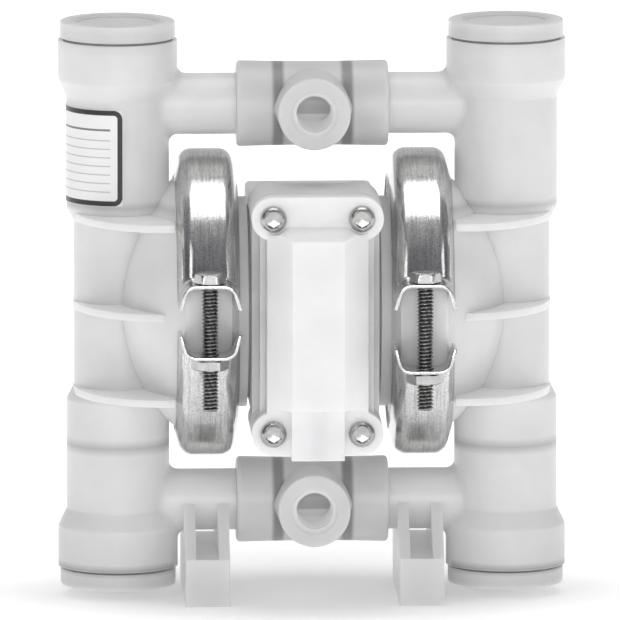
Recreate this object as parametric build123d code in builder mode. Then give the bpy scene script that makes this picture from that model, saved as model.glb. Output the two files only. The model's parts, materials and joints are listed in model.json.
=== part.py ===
from build123d import *

import os
from math import asin, cos, degrees, radians, sin, sqrt, tan

# Air operated double diaphragm pump of the quarter inch class, moulded in natural plastic.
# Millimetres. +X right, +Y back, +Z up, origin on the floor under the middle of the pump.
# The air valve faces the front, -Y. Places called rise are heights above the shaft axis.

os.makedirs("parts", exist_ok=True)

# Layout
column_offset = 56.25
clamp_offset = 31.0
floor_gap = 3.0
cut_margin = 1.0

# Columns of the liquid chambers
rim_radius = 17.3
rim_height = 11.7
rim_slope_height = 5.1
neck_radius = 14.9
neck_start_rise = 28.0
waist_radius = 12.8
waist_rise = 23.8
column_edge_radius = 1.6
rim_bore_radius = 14.5
rim_bore_depth = 11.5
neck_bore_radius = 11.4
ball_bore_radius = 8.5

# Dome and ribs of the liquid chambers
dome_start = 40.0
dome_step = 1.2
dome_end = 57.0
rib_rises = (-25.0, 0.0, 26.0)
rib_thickness = 2.0
rib_centre = 44.25
rib_reach = 25.0
rib_step = 3.0
rib_gap = 0.6
bowl_mouth_radius = 32.5
bowl_shoulder = 7.0
bowl_shoulder_step = 1.5
bowl_floor = 46.0
bowl_floor_slope = 2.0
bowl_floor_radius = 12.0
chamber_port_width = 10.0
chamber_port_top = 22.0
chamber_port_bottom = -20.0

# Stub pipes that carry the tees
stub_radius = 8.9
stub_bore_radius = 5.0
stub_clamp_gap = 4.6
stub_end_gap = 0.5
stub_seal_offset = 10.0
stub_seal_width = 3.4
stub_seal_section = 1.25
stub_fillet = 2.4

# Feet
foot_width = 13.0
foot_depth = 54.0
foot_height = 13.8
foot_neck_height = 4.8
foot_rib_thickness = 3.2
foot_rib_top_depth = 18.0
foot_hole_radius = 2.5
foot_hole_depth = 11.0
foot_hole_pitch = 40.0
foot_edge_radius = 0.8

# Caps, ball seats and balls
cap_inset = 0.6
cap_head_height = 4.8
cap_gap = 0.7
cap_edge_radius = 0.6
cap_recess_radius = 12.6
cap_recess_depth = 0.9
cap_plug_gap = 0.1
cap_plug_end_gap = 0.5
cap_cage_gap = 0.2
cap_cage_bore_radius = 8.8
cap_window_width = 9.0
cap_window_height = 13.0
cap_seal_section = 0.7
seat_gap = 0.1
seat_height = 4.5
seat_hole_radius = 4.2
seat_mouth_radius = 6.5
seat_seal_section = 0.88
seat_groove_width = 2.2
discharge_seat_rise = 27.0
inlet_seat_rise = -44.0
ball_radius = 6.35
ball_lift = 3.5
ball_clearance = 0.05
ball_stop_gap = 0.3
ball_stop_height = 3.0
ball_stop_width = 2.6

# Tees
tee_radius = 12.5
tee_waist_radius = 12.15
tee_half_length = 22.0
tee_edge_radius = 1.2
tee_socket_gap = 0.1
tee_socket_end = 7.0
tee_bore_radius = 5.5
port_boss_radius = 10.45
port_boss_root_radius = 11.0
port_boss_reach = 24.5
port_mouth_radius = 6.85
port_edge_radius = 0.6
port_root_fillet = 1.0

# Clamp bands, rolled channel with its ends turned out as ears
clamp_radius = 44.5
clamp_width = 18.3
clamp_depth = 7.3
clamp_slope = 16.0
clamp_sheet = 1.1
clamp_corner_radius = 2.6
clamp_fit = 0.05
ear_overhang = 9.9
ear_bend_radius = 1.2
upper_ear_rise = 12.7
lower_ear_rises = {"left": 9.3, "right": 13.6}
flange_gap = 1.4

# Clamp bolts and nuts, number 10-24 hexagon
bolt_overhang = 4.9
bolt_radius = 2.4
bolt_length = 37.2
bolt_head_flats = 7.94
bolt_head_height = 3.0
bolt_head_turn = 30.0
nut_flats = 9.5
nut_height = 3.2
bolt_hole_radius = 2.65
nut_bore_radius = 2.42

# Centre block with the air chambers on its sides
block_half_width = 18.4
block_front = -33.0
block_back = 35.0
block_half_height = 30.2
block_edge_radius = 1.5
housing_step = 2.0
housing_back = -16.5
housing_front = -43.0
housing_top_rise = 37.0
housing_bottom_rise = -34.0
housing_corner_radius = 4.5
lobe_radius = 6.3
lobe_overhang = 0.65
lobe_half_pitch_z = 31.3
side_gasket_thickness = 0.8
side_gasket_radius = 28.0
hub_radius = 30.5
hub_end = 22.0
air_bowl_floor = 22.8
air_bowl_slope = 3.0
air_bowl_taper = 8.5
side_screw_circle_radius = 20.0
side_screw_angle = 45.0
side_screw_head_radius = 3.0
side_screw_head_height = 2.0
side_screw_radius = 1.7
side_screw_length = 12.0

# Shaft, bushings and seals
shaft_radius = 5.0
running_fit = 0.05
shaft_clearance = 0.6
shaft_chamfer = 0.5
bushing_wall = 2.0
bushing_length = 9.0
shaft_seal_length = 2.0
stud_radius = 3.0
stud_length = 9.0
stud_fit = 0.05

# Diaphragms and the pistons that hold them
diaphragm_thickness = 2.0
diaphragm_edge_gap = 0.6
diaphragm_hole_gap = 0.3
diaphragm_mouth_gap = 0.5
diaphragm_inner_radius = 17.0
diaphragm_wave = 2.8
piston_radius = 15.5
inner_piston_thickness = 3.0
outer_piston_radius = 14.0
outer_piston_thickness = 4.5
piston_edge_radius = 1.2

# Pilot spool beside the shaft
pilot_block_wall = 1.9
pilot_radius = 2.0
pilot_neck_radius = 1.4
pilot_half_length = 25.0
pilot_neck_offset = 9.0
pilot_neck_length = 6.0
pilot_sleeve_wall = 1.6
pilot_clearance = 0.4

# Air valve
valve_gasket_thickness = 0.6
valve_flange_thickness = 6.6
valve_half_width = 14.6
valve_top_rise = 37.2
barrel_depth = 7.8
barrel_front_half_width = 7.5
barrel_top_rise = 28.9
barrel_front_top_rise = 25.7
barrel_bottom_rise = -23.6
box_half_width = 7.65
box_depth = 10.4
box_bottom_rise = -38.6
spool_depth = 5.2
sleeve_radius = 4.3
sleeve_bottom_rise = -22.0
sleeve_top_rise = 20.0
spool_radius = 3.4
spool_neck_radius = 2.3
spool_neck_length = 6.4
spool_neck_offset = 6.4
spool_length = 32.0
spool_gap = 0.5
end_cap_slot_width = 1.0
end_cap_slot_depth = 0.8
end_cap_seal_section = 0.6
end_cap_groove_half_width = 0.78
valve_port_radius = 1.5
valve_port_rise = 13.0
valve_screw_radius = 1.9
valve_screw_length = 26.0
valve_screw_head_radius = 3.8
valve_screw_head_height = 2.2
valve_screw_head_fillet = 1.32
valve_screw_socket_flats = 4.0
valve_screw_socket_depth = 1.4
valve_screw_clear_radius = 2.1
valve_screw_head_clearance = 0.6

# Back of the centre block: exhaust plate, silencer and air inlet
plate_rise = -7.0
plate_width = 31.0
plate_height = 32.0
plate_thickness = 5.0
plate_corner_radius = 4.0
plate_gasket_thickness = 0.6
plate_screw_half_width = 11.0
plate_screw_half_height = 11.5
plate_screw_radius = 1.7
plate_screw_head_radius = 2.9
plate_screw_head_height = 2.0
plate_screw_length = 14.0
plenum_width = 14.0
plenum_height = 16.0
plenum_depth = 8.0
silencer_radius = 10.0
silencer_length = 28.0
silencer_edge_radius = 3.3
silencer_bore_radius = 4.5
silencer_end_wall = 5.6
silencer_hex_flats = 15.9
silencer_hex_length = 5.0
silencer_stub_radius = 6.5
silencer_stub_length = 4.6
inlet_rise = 20.0
inlet_bushing_radius = 6.6
inlet_bushing_length = 11.0
inlet_bore_end_gap = 1.0
inlet_hex_flats = 15.9
inlet_hex_length = 4.0
inlet_bore_radius = 4.4

# Blank label on the left column
label_height = 28.0
label_start_angle = 4.0
label_sweep = 134.0
label_gap = 0.02
label_thickness = 0.15

# Small clearance between still pieces that fit together
fit = 0.05

# Radii and places that follow from the sizes above
flange_radius = clamp_radius - clamp_sheet - flange_gap
mouth_radius = clamp_radius - clamp_depth
dome_start_radius = mouth_radius - dome_step
rib_half_depth = dome_start_radius - rib_step
rib_start = dome_start + rib_gap
bolt_reach = clamp_radius + bolt_overhang
ear_reach = clamp_radius + ear_overhang
manifold_rise = clamp_radius + stub_clamp_gap + stub_radius
shaft_height = foot_height + foot_neck_height + stub_radius + manifold_rise
rim_rise = shaft_height - floor_gap - cap_head_height - cap_gap
rim_start_rise = rim_rise - rim_height
neck_end_rise = rim_start_rise - rim_slope_height
stub_end = tee_socket_end + stub_end_gap
tee_socket_radius = stub_radius + tee_socket_gap
cap_radius = rim_radius - cap_inset
cap_plug_radius = rim_bore_radius - cap_plug_gap
cap_plug_length = rim_bore_depth - cap_plug_end_gap
cap_cage_radius = neck_bore_radius - cap_cage_gap
seat_radius = neck_bore_radius - seat_gap
diaphragm_flat_radius = bowl_mouth_radius - diaphragm_mouth_gap
air_bowl_radius = bowl_mouth_radius - air_bowl_taper
bushing_radius = shaft_radius + bushing_wall
shaft_clear_radius = shaft_radius + shaft_clearance
pilot_clear_radius = pilot_radius + pilot_clearance
pilot_sleeve_radius = pilot_radius + pilot_sleeve_wall
pilot_offset = bushing_radius + pilot_block_wall + pilot_sleeve_radius
housing_front_gasket = housing_front - valve_gasket_thickness
valve_flange_front = housing_front_gasket - valve_flange_thickness
barrel_front = valve_flange_front - barrel_depth
box_front = housing_front_gasket - box_depth
spool_axis = housing_front_gasket - spool_depth

# Widths that follow the centre block
housing_half_width = block_half_width - housing_step
lobe_half_pitch_x = block_half_width + (lobe_overhang - lobe_radius)

# Planes, axes and levels
shaft_plane = Plane(origin=(0, 0, shaft_height), x_dir=(1, 0, 0), z_dir=(0, -1, 0))
shaft_axis = Axis((0, 0, shaft_height), (1, 0, 0))
column_axis = Axis((column_offset, 0, 0), (0, 0, 1))
bead_inner = clamp_offset - diaphragm_thickness / 2
bead_outer = clamp_offset + diaphragm_thickness / 2
air_chamber_back = block_half_width + side_gasket_thickness
piston_inner_face = bead_inner - inner_piston_thickness
cap_face_rise = rim_rise + cap_gap + cap_head_height
seat_cone_height = seat_mouth_radius - seat_hole_radius
ball_rise_in_seat = seat_height - seat_mouth_radius + sqrt(2) * (ball_radius + ball_clearance)
ball_stop_in_seat = ball_rise_in_seat + ball_radius + ball_lift + ball_stop_gap
column_places = [(side * column_offset, 0) for side in (-1, 1)]
seat_levels = {"inlet": inlet_seat_rise, "discharge": discharge_seat_rise}
cap_levels = {"inlet": -1, "discharge": 1}
manifold_places = [(0, shaft_height + level * manifold_rise) for level in cap_levels.values()]


def channel_half_width(radius):
    """Outer half width of the clamp channel at a radius from the shaft axis."""
    return clamp_width / 2 - (radius - mouth_radius) * tan(radians(clamp_slope))


def flange_half_width(radius):
    """Half width of the clamped flange pair, which fills the channel from inside."""
    return channel_half_width(radius) - clamp_sheet / cos(radians(clamp_slope)) - clamp_fit


def hexagon_radius(flats):
    """Corner radius of a hexagon from its width across flats."""
    return flats / 2 / cos(radians(30))


def turned(profile_plane, axis, points):
    """Solid of revolution from the corners of its half section."""
    with BuildPart(mode=Mode.PRIVATE) as turning:
        with BuildSketch(profile_plane):
            Polygon(*points, align=None)
        revolve(axis=axis)
    return turning.part


# Right liquid chamber: column, dome, ribs, stub pipes and foot in one moulding
dome_sphere = (dome_start_radius**2 + (dome_end - dome_start) ** 2) / (2 * (dome_end - dome_start))
dome_angle = degrees(asin(dome_start_radius / dome_sphere))
flange_back = clamp_offset + flange_half_width(flange_radius)
flange_foot = clamp_offset + flange_half_width(mouth_radius)

with BuildPart() as right_liquid_chamber:
    with BuildSketch(shaft_plane) as column_profile:
        with BuildLine():
            Polyline(
                (column_offset, -rim_rise),
                (column_offset + rim_radius, -rim_rise),
                (column_offset + rim_radius, -rim_start_rise),
                (column_offset + neck_radius, -neck_end_rise),
                (column_offset + neck_radius, -neck_start_rise),
                (column_offset + waist_radius, -waist_rise),
                (column_offset + waist_radius, waist_rise),
                (column_offset + neck_radius, neck_start_rise),
                (column_offset + neck_radius, neck_end_rise),
                (column_offset + rim_radius, rim_start_rise),
                (column_offset + rim_radius, rim_rise),
                (column_offset, rim_rise),
                close=True,
            )
        make_face()
        outer_corners = [v for v in column_profile.vertices() if v.X > column_offset + fit]
        fillet([v for v in outer_corners if abs(v.Y) < rim_rise - fit], column_edge_radius)
    revolve(axis=column_axis)

    with BuildSketch(shaft_plane):
        with BuildLine():
            Polyline(
                (dome_end, 0),
                (bead_outer, 0),
                (bead_outer, flange_radius),
                (flange_back, flange_radius),
                (flange_foot, mouth_radius),
                (dome_start, dome_start_radius),
            )
            CenterArc((dome_end - dome_sphere, 0), dome_sphere, 0, dome_angle)
        make_face()
    revolve(axis=shaft_axis)

    for rise in rib_rises:
        with BuildSketch(Plane.XY.offset(shaft_height + rise - rib_thickness / 2)):
            with Locations((rib_centre, 0)):
                Ellipse(rib_reach, rib_half_depth)
            with Locations((rib_start, 0)):
                Rectangle(
                    clamp_offset,
                    2 * flange_radius,
                    align=(Align.MAX, Align.CENTER),
                    mode=Mode.SUBTRACT,
                )
        extrude(amount=rib_thickness)

    with BuildSketch(Plane.YZ.offset(stub_end)):
        with Locations(*manifold_places):
            Circle(stub_radius)
    extrude(amount=column_offset - stub_end)
    joint_edges = [
        edge
        for edge in right_liquid_chamber.edges(Select.LAST)
        if column_offset - rim_radius - cut_margin < edge.center().X < column_offset - cut_margin
    ]
    fillet(joint_edges, stub_fillet)

    with BuildSketch(Plane.XY):
        with Locations((clamp_offset, 0)):
            RectangleRounded(foot_width, foot_depth, foot_edge_radius)
    extrude(amount=foot_height)
    for side in (-1, 1):
        rib_middle = clamp_offset + side * (foot_width - foot_rib_thickness) / 2
        with BuildSketch(Plane.YZ.offset(rib_middle)):
            Polygon(
                (-foot_depth / 2, foot_height),
                (-foot_rib_top_depth / 2, shaft_height - manifold_rise),
                (foot_rib_top_depth / 2, shaft_height - manifold_rise),
                (foot_depth / 2, foot_height),
                align=None,
            )
        extrude(amount=foot_rib_thickness / 2, both=True)

    # Bores of the column, counted from its foot to its head
    seat_shoulder = -(inlet_seat_rise + seat_height)
    with BuildSketch(shaft_plane):
        with BuildLine():
            lead_radius = cap_plug_radius + fit + 2 * cap_seal_section - cap_gap
            lead = lead_radius + sqrt(2) * (cap_seal_section + fit) - rim_bore_radius
            Polyline(
                (column_offset, -rim_rise - cut_margin),
                (column_offset + rim_bore_radius + lead, -rim_rise - cut_margin),
                (column_offset + rim_bore_radius + lead, -rim_rise),
                (column_offset + rim_bore_radius, -rim_rise + lead),
                (column_offset + rim_bore_radius, -rim_rise + rim_bore_depth),
                (column_offset + neck_bore_radius, -rim_rise + rim_bore_depth),
                (column_offset + neck_bore_radius, -seat_shoulder),
                (column_offset + ball_bore_radius, -seat_shoulder),
                (column_offset + ball_bore_radius, discharge_seat_rise),
                (column_offset + neck_bore_radius, discharge_seat_rise),
                (column_offset + neck_bore_radius, rim_rise - rim_bore_depth),
                (column_offset + rim_bore_radius, rim_rise - rim_bore_depth),
                (column_offset + rim_bore_radius, rim_rise - lead),
                (column_offset + rim_bore_radius + lead, rim_rise),
                (column_offset + rim_bore_radius + lead, rim_rise + cut_margin),
                (column_offset, rim_rise + cut_margin),
                close=True,
            )
        make_face()
    revolve(axis=column_axis, mode=Mode.SUBTRACT)

    # Bowl for the diaphragm, the slot that joins it to the column, and the stub bores
    with BuildSketch(shaft_plane):
        with BuildLine():
            Polyline(
                (bead_outer, 0),
                (bead_outer, bowl_mouth_radius),
                (clamp_offset + bowl_shoulder, bowl_mouth_radius - bowl_shoulder_step),
                (bowl_floor - bowl_floor_slope, (bowl_mouth_radius + bowl_floor_radius) / 2),
                (bowl_floor, bowl_floor_radius),
                (bowl_floor, 0),
                close=True,
            )
        make_face()
    revolve(axis=shaft_axis, mode=Mode.SUBTRACT)
    with BuildSketch(Plane.YZ.offset(bowl_floor - cut_margin)):
        with Locations((0, shaft_height + (chamber_port_top + chamber_port_bottom) / 2)):
            Rectangle(chamber_port_width, chamber_port_top - chamber_port_bottom)
    extrude(amount=column_offset - bowl_floor, mode=Mode.SUBTRACT)
    with BuildSketch(Plane.YZ.offset(stub_end)):
        with Locations(*manifold_places):
            Circle(stub_bore_radius)
    extrude(amount=column_offset - stub_end, mode=Mode.SUBTRACT)
    for place in manifold_places:
        with BuildSketch(Plane.YZ.offset(stub_seal_offset - stub_seal_width / 2)):
            with Locations(place):
                Circle(stub_radius + cut_margin)
                Circle(tee_socket_radius - 2 * stub_seal_section - fit, mode=Mode.SUBTRACT)
        extrude(amount=stub_seal_width, mode=Mode.SUBTRACT)
    with Locations(*[(clamp_offset, side * foot_hole_pitch / 2, 0) for side in (-1, 1)]):
        Cylinder(
            foot_hole_radius,
            foot_hole_depth,
            align=(Align.CENTER, Align.CENTER, Align.MIN),
            mode=Mode.SUBTRACT,
        )

    # Bar across the column that stops the inlet ball
    with BuildSketch(Plane.XY.offset(shaft_height + inlet_seat_rise + ball_stop_in_seat)):
        with Locations((column_offset, 0)):
            Rectangle(2 * ball_bore_radius + cut_margin, ball_stop_width)
    extrude(amount=ball_stop_height)

# Right air chamber: flange under the clamp, dished to a hub on the centre block
with BuildPart() as right_air_chamber:
    with BuildSketch(shaft_plane):
        with BuildLine():
            Polyline(
                (air_chamber_back, 0),
                (air_chamber_back, hub_radius),
                (hub_end, hub_radius),
                (2 * clamp_offset - flange_foot, mouth_radius),
                (2 * clamp_offset - flange_back, flange_radius),
                (bead_inner, flange_radius),
                (bead_inner, bowl_mouth_radius),
                (air_bowl_floor + air_bowl_slope, bowl_mouth_radius - air_bowl_slope),
                (air_bowl_floor, air_bowl_radius),
                (air_bowl_floor, 0),
                close=True,
            )
        make_face()
    revolve(axis=shaft_axis)
    with BuildSketch(Plane.YZ.offset(air_chamber_back)):
        with Locations((0, shaft_height)):
            Circle(shaft_clear_radius)
        with Locations((pilot_offset, shaft_height)):
            Circle(pilot_clear_radius)
        with Locations((0, shaft_height)):
            with PolarLocations(side_screw_circle_radius, 4, start_angle=side_screw_angle):
                Circle(side_screw_radius + fit)
    extrude(amount=air_bowl_floor - air_chamber_back, mode=Mode.SUBTRACT)

# Right diaphragm, one flexible disc with a single wave
with BuildPart() as right_diaphragm:
    wave_radius = (diaphragm_flat_radius + diaphragm_inner_radius) / 2
    edge_radius = flange_radius - diaphragm_edge_gap
    hole_radius = stud_radius + diaphragm_hole_gap
    with BuildSketch(shaft_plane):
        with BuildLine():
            Line((bead_outer, edge_radius), (bead_outer, diaphragm_flat_radius))
            ThreePointArc(
                (bead_outer, diaphragm_flat_radius),
                (bead_outer - diaphragm_wave, wave_radius),
                (bead_outer, diaphragm_inner_radius),
            )
            Polyline(
                (bead_outer, diaphragm_inner_radius),
                (bead_outer, hole_radius),
                (bead_inner, hole_radius),
                (bead_inner, diaphragm_inner_radius),
            )
            ThreePointArc(
                (bead_inner, diaphragm_inner_radius),
                (bead_inner - diaphragm_wave, wave_radius),
                (bead_inner, diaphragm_flat_radius),
            )
            Polyline(
                (bead_inner, diaphragm_flat_radius),
                (bead_inner, edge_radius),
                (bead_outer, edge_radius),
            )
        make_face()
    revolve(axis=shaft_axis)

# Right inner piston, a plain disc against the air side of the diaphragm
with BuildPart() as right_inner_piston:
    with BuildSketch(Plane.YZ.offset(piston_inner_face)):
        with Locations((0, shaft_height)):
            Circle(piston_radius)
            Circle(stud_radius + stud_fit, mode=Mode.SUBTRACT)
    extrude(amount=inner_piston_thickness)
    rims = right_inner_piston.edges().filter_by(GeomType.CIRCLE).sort_by(SortBy.RADIUS)[-2:]
    fillet(rims.sort_by(Axis.X)[-1], piston_edge_radius)

# Right outer piston, a domed disc on the stud that screws into the shaft
with BuildPart() as right_outer_piston:
    with BuildSketch(Plane.YZ.offset(bead_outer)):
        with Locations((0, shaft_height)):
            Circle(outer_piston_radius)
    extrude(amount=outer_piston_thickness)
    rims = right_outer_piston.edges().filter_by(GeomType.CIRCLE).sort_by(Axis.X)
    fillet(rims[-1], outer_piston_thickness / 2)
    with BuildSketch(Plane.YZ.offset(piston_inner_face - stud_length)):
        with Locations((0, shaft_height)):
            Circle(stud_radius)
    extrude(amount=bead_outer - piston_inner_face + stud_length)

# Main shaft, drilled at both ends for the studs
with BuildPart() as main_shaft:
    with BuildSketch(Plane.YZ.offset(-piston_inner_face)):
        with Locations((0, shaft_height)):
            Circle(shaft_radius)
    extrude(amount=2 * piston_inner_face)
    for side in (-1, 1):
        with BuildSketch(Plane.YZ.offset(side * piston_inner_face)):
            with Locations((0, shaft_height)):
                Circle(stud_radius + stud_fit)
        extrude(amount=-side * (stud_length + cut_margin), mode=Mode.SUBTRACT)
    end_edges = main_shaft.edges().filter_by(GeomType.CIRCLE).sort_by(SortBy.RADIUS)[-2:]
    chamfer(end_edges, shaft_chamfer)
main_shaft.part.label = "main_shaft"
export_step(main_shaft.part, "parts/main_shaft.step")

# Shaft bushings, one at each end of the block bore
with BuildPart() as shaft_bushings:
    for side in (-1, 1):
        start = block_half_width - shaft_seal_length - fit
        with BuildSketch(Plane.YZ.offset(side * start)):
            with Locations((0, shaft_height)):
                Circle(bushing_radius)
                Circle(shaft_radius + running_fit, mode=Mode.SUBTRACT)
        extrude(amount=-side * bushing_length)
shaft_bushings.part.label = "shaft_bushings"
export_step(shaft_bushings.part, "parts/shaft_bushings.step")

# Shaft seals, held between each bushing and its air chamber
with BuildPart() as shaft_seals:
    for side in (-1, 1):
        with BuildSketch(Plane.YZ.offset(side * block_half_width)):
            with Locations((0, shaft_height)):
                Circle(bushing_radius)
                Circle(shaft_radius + running_fit, mode=Mode.SUBTRACT)
        extrude(amount=-side * shaft_seal_length)
shaft_seals.part.label = "shaft_seals"
export_step(shaft_seals.part, "parts/shaft_seals.step")

# Pilot sleeve and the spool that the inner pistons push
with BuildPart() as pilot_sleeve:
    with BuildSketch(Plane.YZ):
        with Locations((pilot_offset, shaft_height)):
            Circle(pilot_sleeve_radius)
            Circle(pilot_radius + running_fit, mode=Mode.SUBTRACT)
    extrude(amount=block_half_width, both=True)
pilot_sleeve.part.label = "pilot_sleeve"
export_step(pilot_sleeve.part, "parts/pilot_sleeve.step")

pilot_axis = Axis((0, pilot_offset, shaft_height), (1, 0, 0))
with BuildPart() as pilot_spool:
    with BuildSketch(Plane(origin=(0, pilot_offset, shaft_height), x_dir=(1, 0, 0), z_dir=(0, -1, 0))):
        Rectangle(2 * pilot_half_length, pilot_radius, align=(Align.CENTER, Align.MIN))
        with Locations(*[(side * pilot_neck_offset, pilot_neck_radius) for side in (-1, 1)]):
            Rectangle(
                pilot_neck_length,
                pilot_radius,
                align=(Align.CENTER, Align.MIN),
                mode=Mode.SUBTRACT,
            )
    revolve(axis=pilot_axis)
pilot_spool.part.label = "pilot_spool"
export_step(pilot_spool.part, "parts/pilot_spool.step")

# Ball seats, two for the inlet and two for the discharge, each with its seal in a groove
seat_seal_circle = neck_bore_radius - fit / 2 - seat_seal_section
for name, level in seat_levels.items():
    groove_radius = seat_seal_circle - seat_seal_section - fit / 2
    groove_low = (seat_height - seat_groove_width) / 2
    seat_solid = turned(
        Plane.XZ,
        Axis.Z,
        [
            (seat_hole_radius, 0),
            (seat_radius, 0),
            (seat_radius, groove_low),
            (groove_radius, groove_low),
            (groove_radius, groove_low + seat_groove_width),
            (seat_radius, groove_low + seat_groove_width),
            (seat_radius, seat_height),
            (seat_mouth_radius, seat_height),
            (seat_hole_radius, seat_height - seat_cone_height),
        ],
    )
    with BuildPart() as seats:
        with Locations(*[(x, y, shaft_height + level) for x, y in column_places]):
            add(seat_solid)
    seats.part.label = f"{name}_ball_seats"
    export_step(seats.part, f"parts/{name}_ball_seats.step")

with BuildPart() as seat_seals:
    for level in seat_levels.values():
        with Locations(*[(x, y, shaft_height + level + seat_height / 2) for x, y in column_places]):
            Torus(seat_seal_circle, seat_seal_section)
seat_seals.part.label = "seat_seals"
export_step(seat_seals.part, "parts/seat_seals.step")

for name, level in seat_levels.items():
    for hand, side in (("left", -1), ("right", 1)):
        with BuildPart() as ball:
            with Locations((side * column_offset, 0, shaft_height + level + ball_rise_in_seat)):
                Sphere(ball_radius)
        ball.part.label = f"{hand}_{name}_ball"
        export_step(ball.part, f"parts/{hand}_{name}_ball.step")

# Caps: a head, a threaded plug and a windowed cage that holds the ball seat in place
for name, level in cap_levels.items():
    cage_end = discharge_seat_rise + seat_height if level > 0 else -inlet_seat_rise
    for hand, side in (("left", -1), ("right", 1)):
        up = Plane(origin=(side * column_offset, 0, shaft_height), x_dir=(1, 0, 0), z_dir=(0, 0, level))
        with BuildPart() as cap:
            with BuildSketch(up.offset(rim_rise + cap_gap)):
                Circle(cap_radius)
            extrude(amount=cap_head_height)
            outer_edges = cap.edges().filter_by(GeomType.CIRCLE).sort_by(Axis.Z)
            fillet(outer_edges[-1] if level > 0 else outer_edges[0], cap_edge_radius)
            with BuildSketch(up.offset(cap_face_rise - cap_recess_depth)):
                Circle(cap_recess_radius)
            extrude(amount=cap_recess_depth, mode=Mode.SUBTRACT)
            with BuildSketch(up.offset(rim_rise + cap_gap)):
                Circle(cap_plug_radius)
            extrude(amount=-cap_plug_length)
            with BuildSketch(up.offset(cage_end)):
                Circle(cap_cage_radius)
            extrude(amount=rim_rise + cap_gap - cap_plug_length - cage_end)
            with BuildSketch(up.offset(cage_end)):
                Circle(cap_cage_bore_radius)
            extrude(amount=rim_rise + cap_gap - cap_recess_depth - cage_end, mode=Mode.SUBTRACT)
            for turn in (0, 90):
                with BuildSketch(up.offset(manifold_rise - cap_window_height / 2)):
                    Rectangle(2 * neck_bore_radius, cap_window_width, rotation=turn)
                    Circle(cap_cage_bore_radius - cut_margin, mode=Mode.SUBTRACT)
                extrude(amount=cap_window_height, mode=Mode.SUBTRACT)
            if level > 0:
                with BuildSketch(up.offset(discharge_seat_rise + ball_stop_in_seat)):
                    Rectangle(2 * cap_cage_bore_radius + cut_margin, ball_stop_width)
                extrude(amount=ball_stop_height)
        cap.part.label = f"{hand}_{name}_cap"
        export_step(cap.part, f"parts/{hand}_{name}_cap.step")

with BuildPart() as cap_seals:
    for level in cap_levels.values():
        seal_height = shaft_height + level * (rim_rise + cap_gap - cap_seal_section)
        with Locations(*[(x, y, seal_height) for x, y in column_places]):
            Torus(cap_plug_radius + fit + cap_seal_section, cap_seal_section)
cap_seals.part.label = "cap_seals"
export_step(cap_seals.part, "parts/cap_seals.step")

# Tees that join the two chambers, with the threaded port to the front
for name, level in cap_levels.items():
    tee_height = shaft_height + level * manifold_rise
    tee_plane = Plane(origin=(0, 0, tee_height), x_dir=(1, 0, 0), z_dir=(0, -1, 0))
    tee_axis = Axis((0, 0, tee_height), (1, 0, 0))
    with BuildPart() as tee:
        with BuildSketch(tee_plane) as tee_profile:
            with BuildLine():
                Polyline(
                    (tee_half_length, tee_radius),
                    (tee_half_length, 0),
                    (-tee_half_length, 0),
                    (-tee_half_length, tee_radius),
                )
                ThreePointArc(
                    (-tee_half_length, tee_radius),
                    (0, tee_waist_radius),
                    (tee_half_length, tee_radius),
                )
            make_face()
            fillet(tee_profile.vertices().sort_by(Axis.Y)[-2:], tee_edge_radius)
        revolve(axis=tee_axis)
        with BuildSketch(tee_plane):
            Circle(port_boss_root_radius)
        with BuildSketch(tee_plane.offset(port_boss_reach)):
            Circle(port_boss_radius)
        loft()
        boss_rim = tee.edges().filter_by(GeomType.CIRCLE).sort_by(Axis.Y)[0]
        fillet(boss_rim, port_edge_radius)
        boss_root = [edge for edge in tee.edges() if abs(edge.center().X) < port_boss_root_radius]
        boss_root = [edge for edge in boss_root if fit < -edge.center().Y < tee_radius]
        fillet(boss_root, port_root_fillet)
        for side in (-1, 1):
            with BuildSketch(Plane.YZ.offset(side * tee_socket_end)):
                with Locations((0, tee_height)):
                    Circle(tee_socket_radius)
            extrude(amount=side * (tee_half_length - tee_socket_end), mode=Mode.SUBTRACT)
        with BuildSketch(Plane.YZ):
            with Locations((0, tee_height)):
                Circle(tee_bore_radius)
        extrude(amount=tee_socket_end, both=True, mode=Mode.SUBTRACT)
        with BuildSketch(tee_plane):
            Circle(tee_bore_radius)
        extrude(amount=port_boss_reach, mode=Mode.SUBTRACT)
        front_circles = tee.edges().filter_by(GeomType.CIRCLE).group_by(Axis.Y)[0]
        chamfer(front_circles.sort_by(SortBy.RADIUS)[0], port_mouth_radius - tee_bore_radius)
    tee.part.label = f"{name}_tee"
    export_step(tee.part, f"parts/{name}_tee.step")

    with BuildPart() as tee_seals:
        for side in (-1, 1):
            with Locations(Location((side * stub_seal_offset, 0, tee_height), (0, 90, 0))):
                Torus(tee_socket_radius - running_fit / 2 - stub_seal_section, stub_seal_section)
    tee_seals.part.label = f"{name}_tee_seals"
    export_step(tee_seals.part, f"parts/{name}_tee_seals.step")

# Clamp halves: a channel rolled round the flanges, its ends bent out as ears for the bolts
def channel_section(web):
    """Section of the clamp channel with the outer face of its web on the plane's X axis."""
    slant_sheet = clamp_sheet / cos(radians(clamp_slope))
    top_half = channel_half_width(clamp_radius)
    mouth_half = channel_half_width(mouth_radius)
    inner_half = top_half - slant_sheet + clamp_sheet * tan(radians(clamp_slope))
    with BuildSketch(web, mode=Mode.PRIVATE) as channel:
        Polygon(
            (-mouth_half, -clamp_depth),
            (-top_half, 0),
            (top_half, 0),
            (mouth_half, -clamp_depth),
            (mouth_half - slant_sheet, -clamp_depth),
            (inner_half, -clamp_sheet),
            (-inner_half, -clamp_sheet),
            (slant_sheet - mouth_half, -clamp_depth),
            align=None,
        )
        fillet(channel.vertices().group_by(Axis.Y)[-1], clamp_corner_radius)
        inner_corners = [v for v in channel.vertices() if abs(abs(v.X) - inner_half) < fit]
        fillet(inner_corners, clamp_corner_radius - clamp_sheet)
    return channel.sketch


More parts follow.
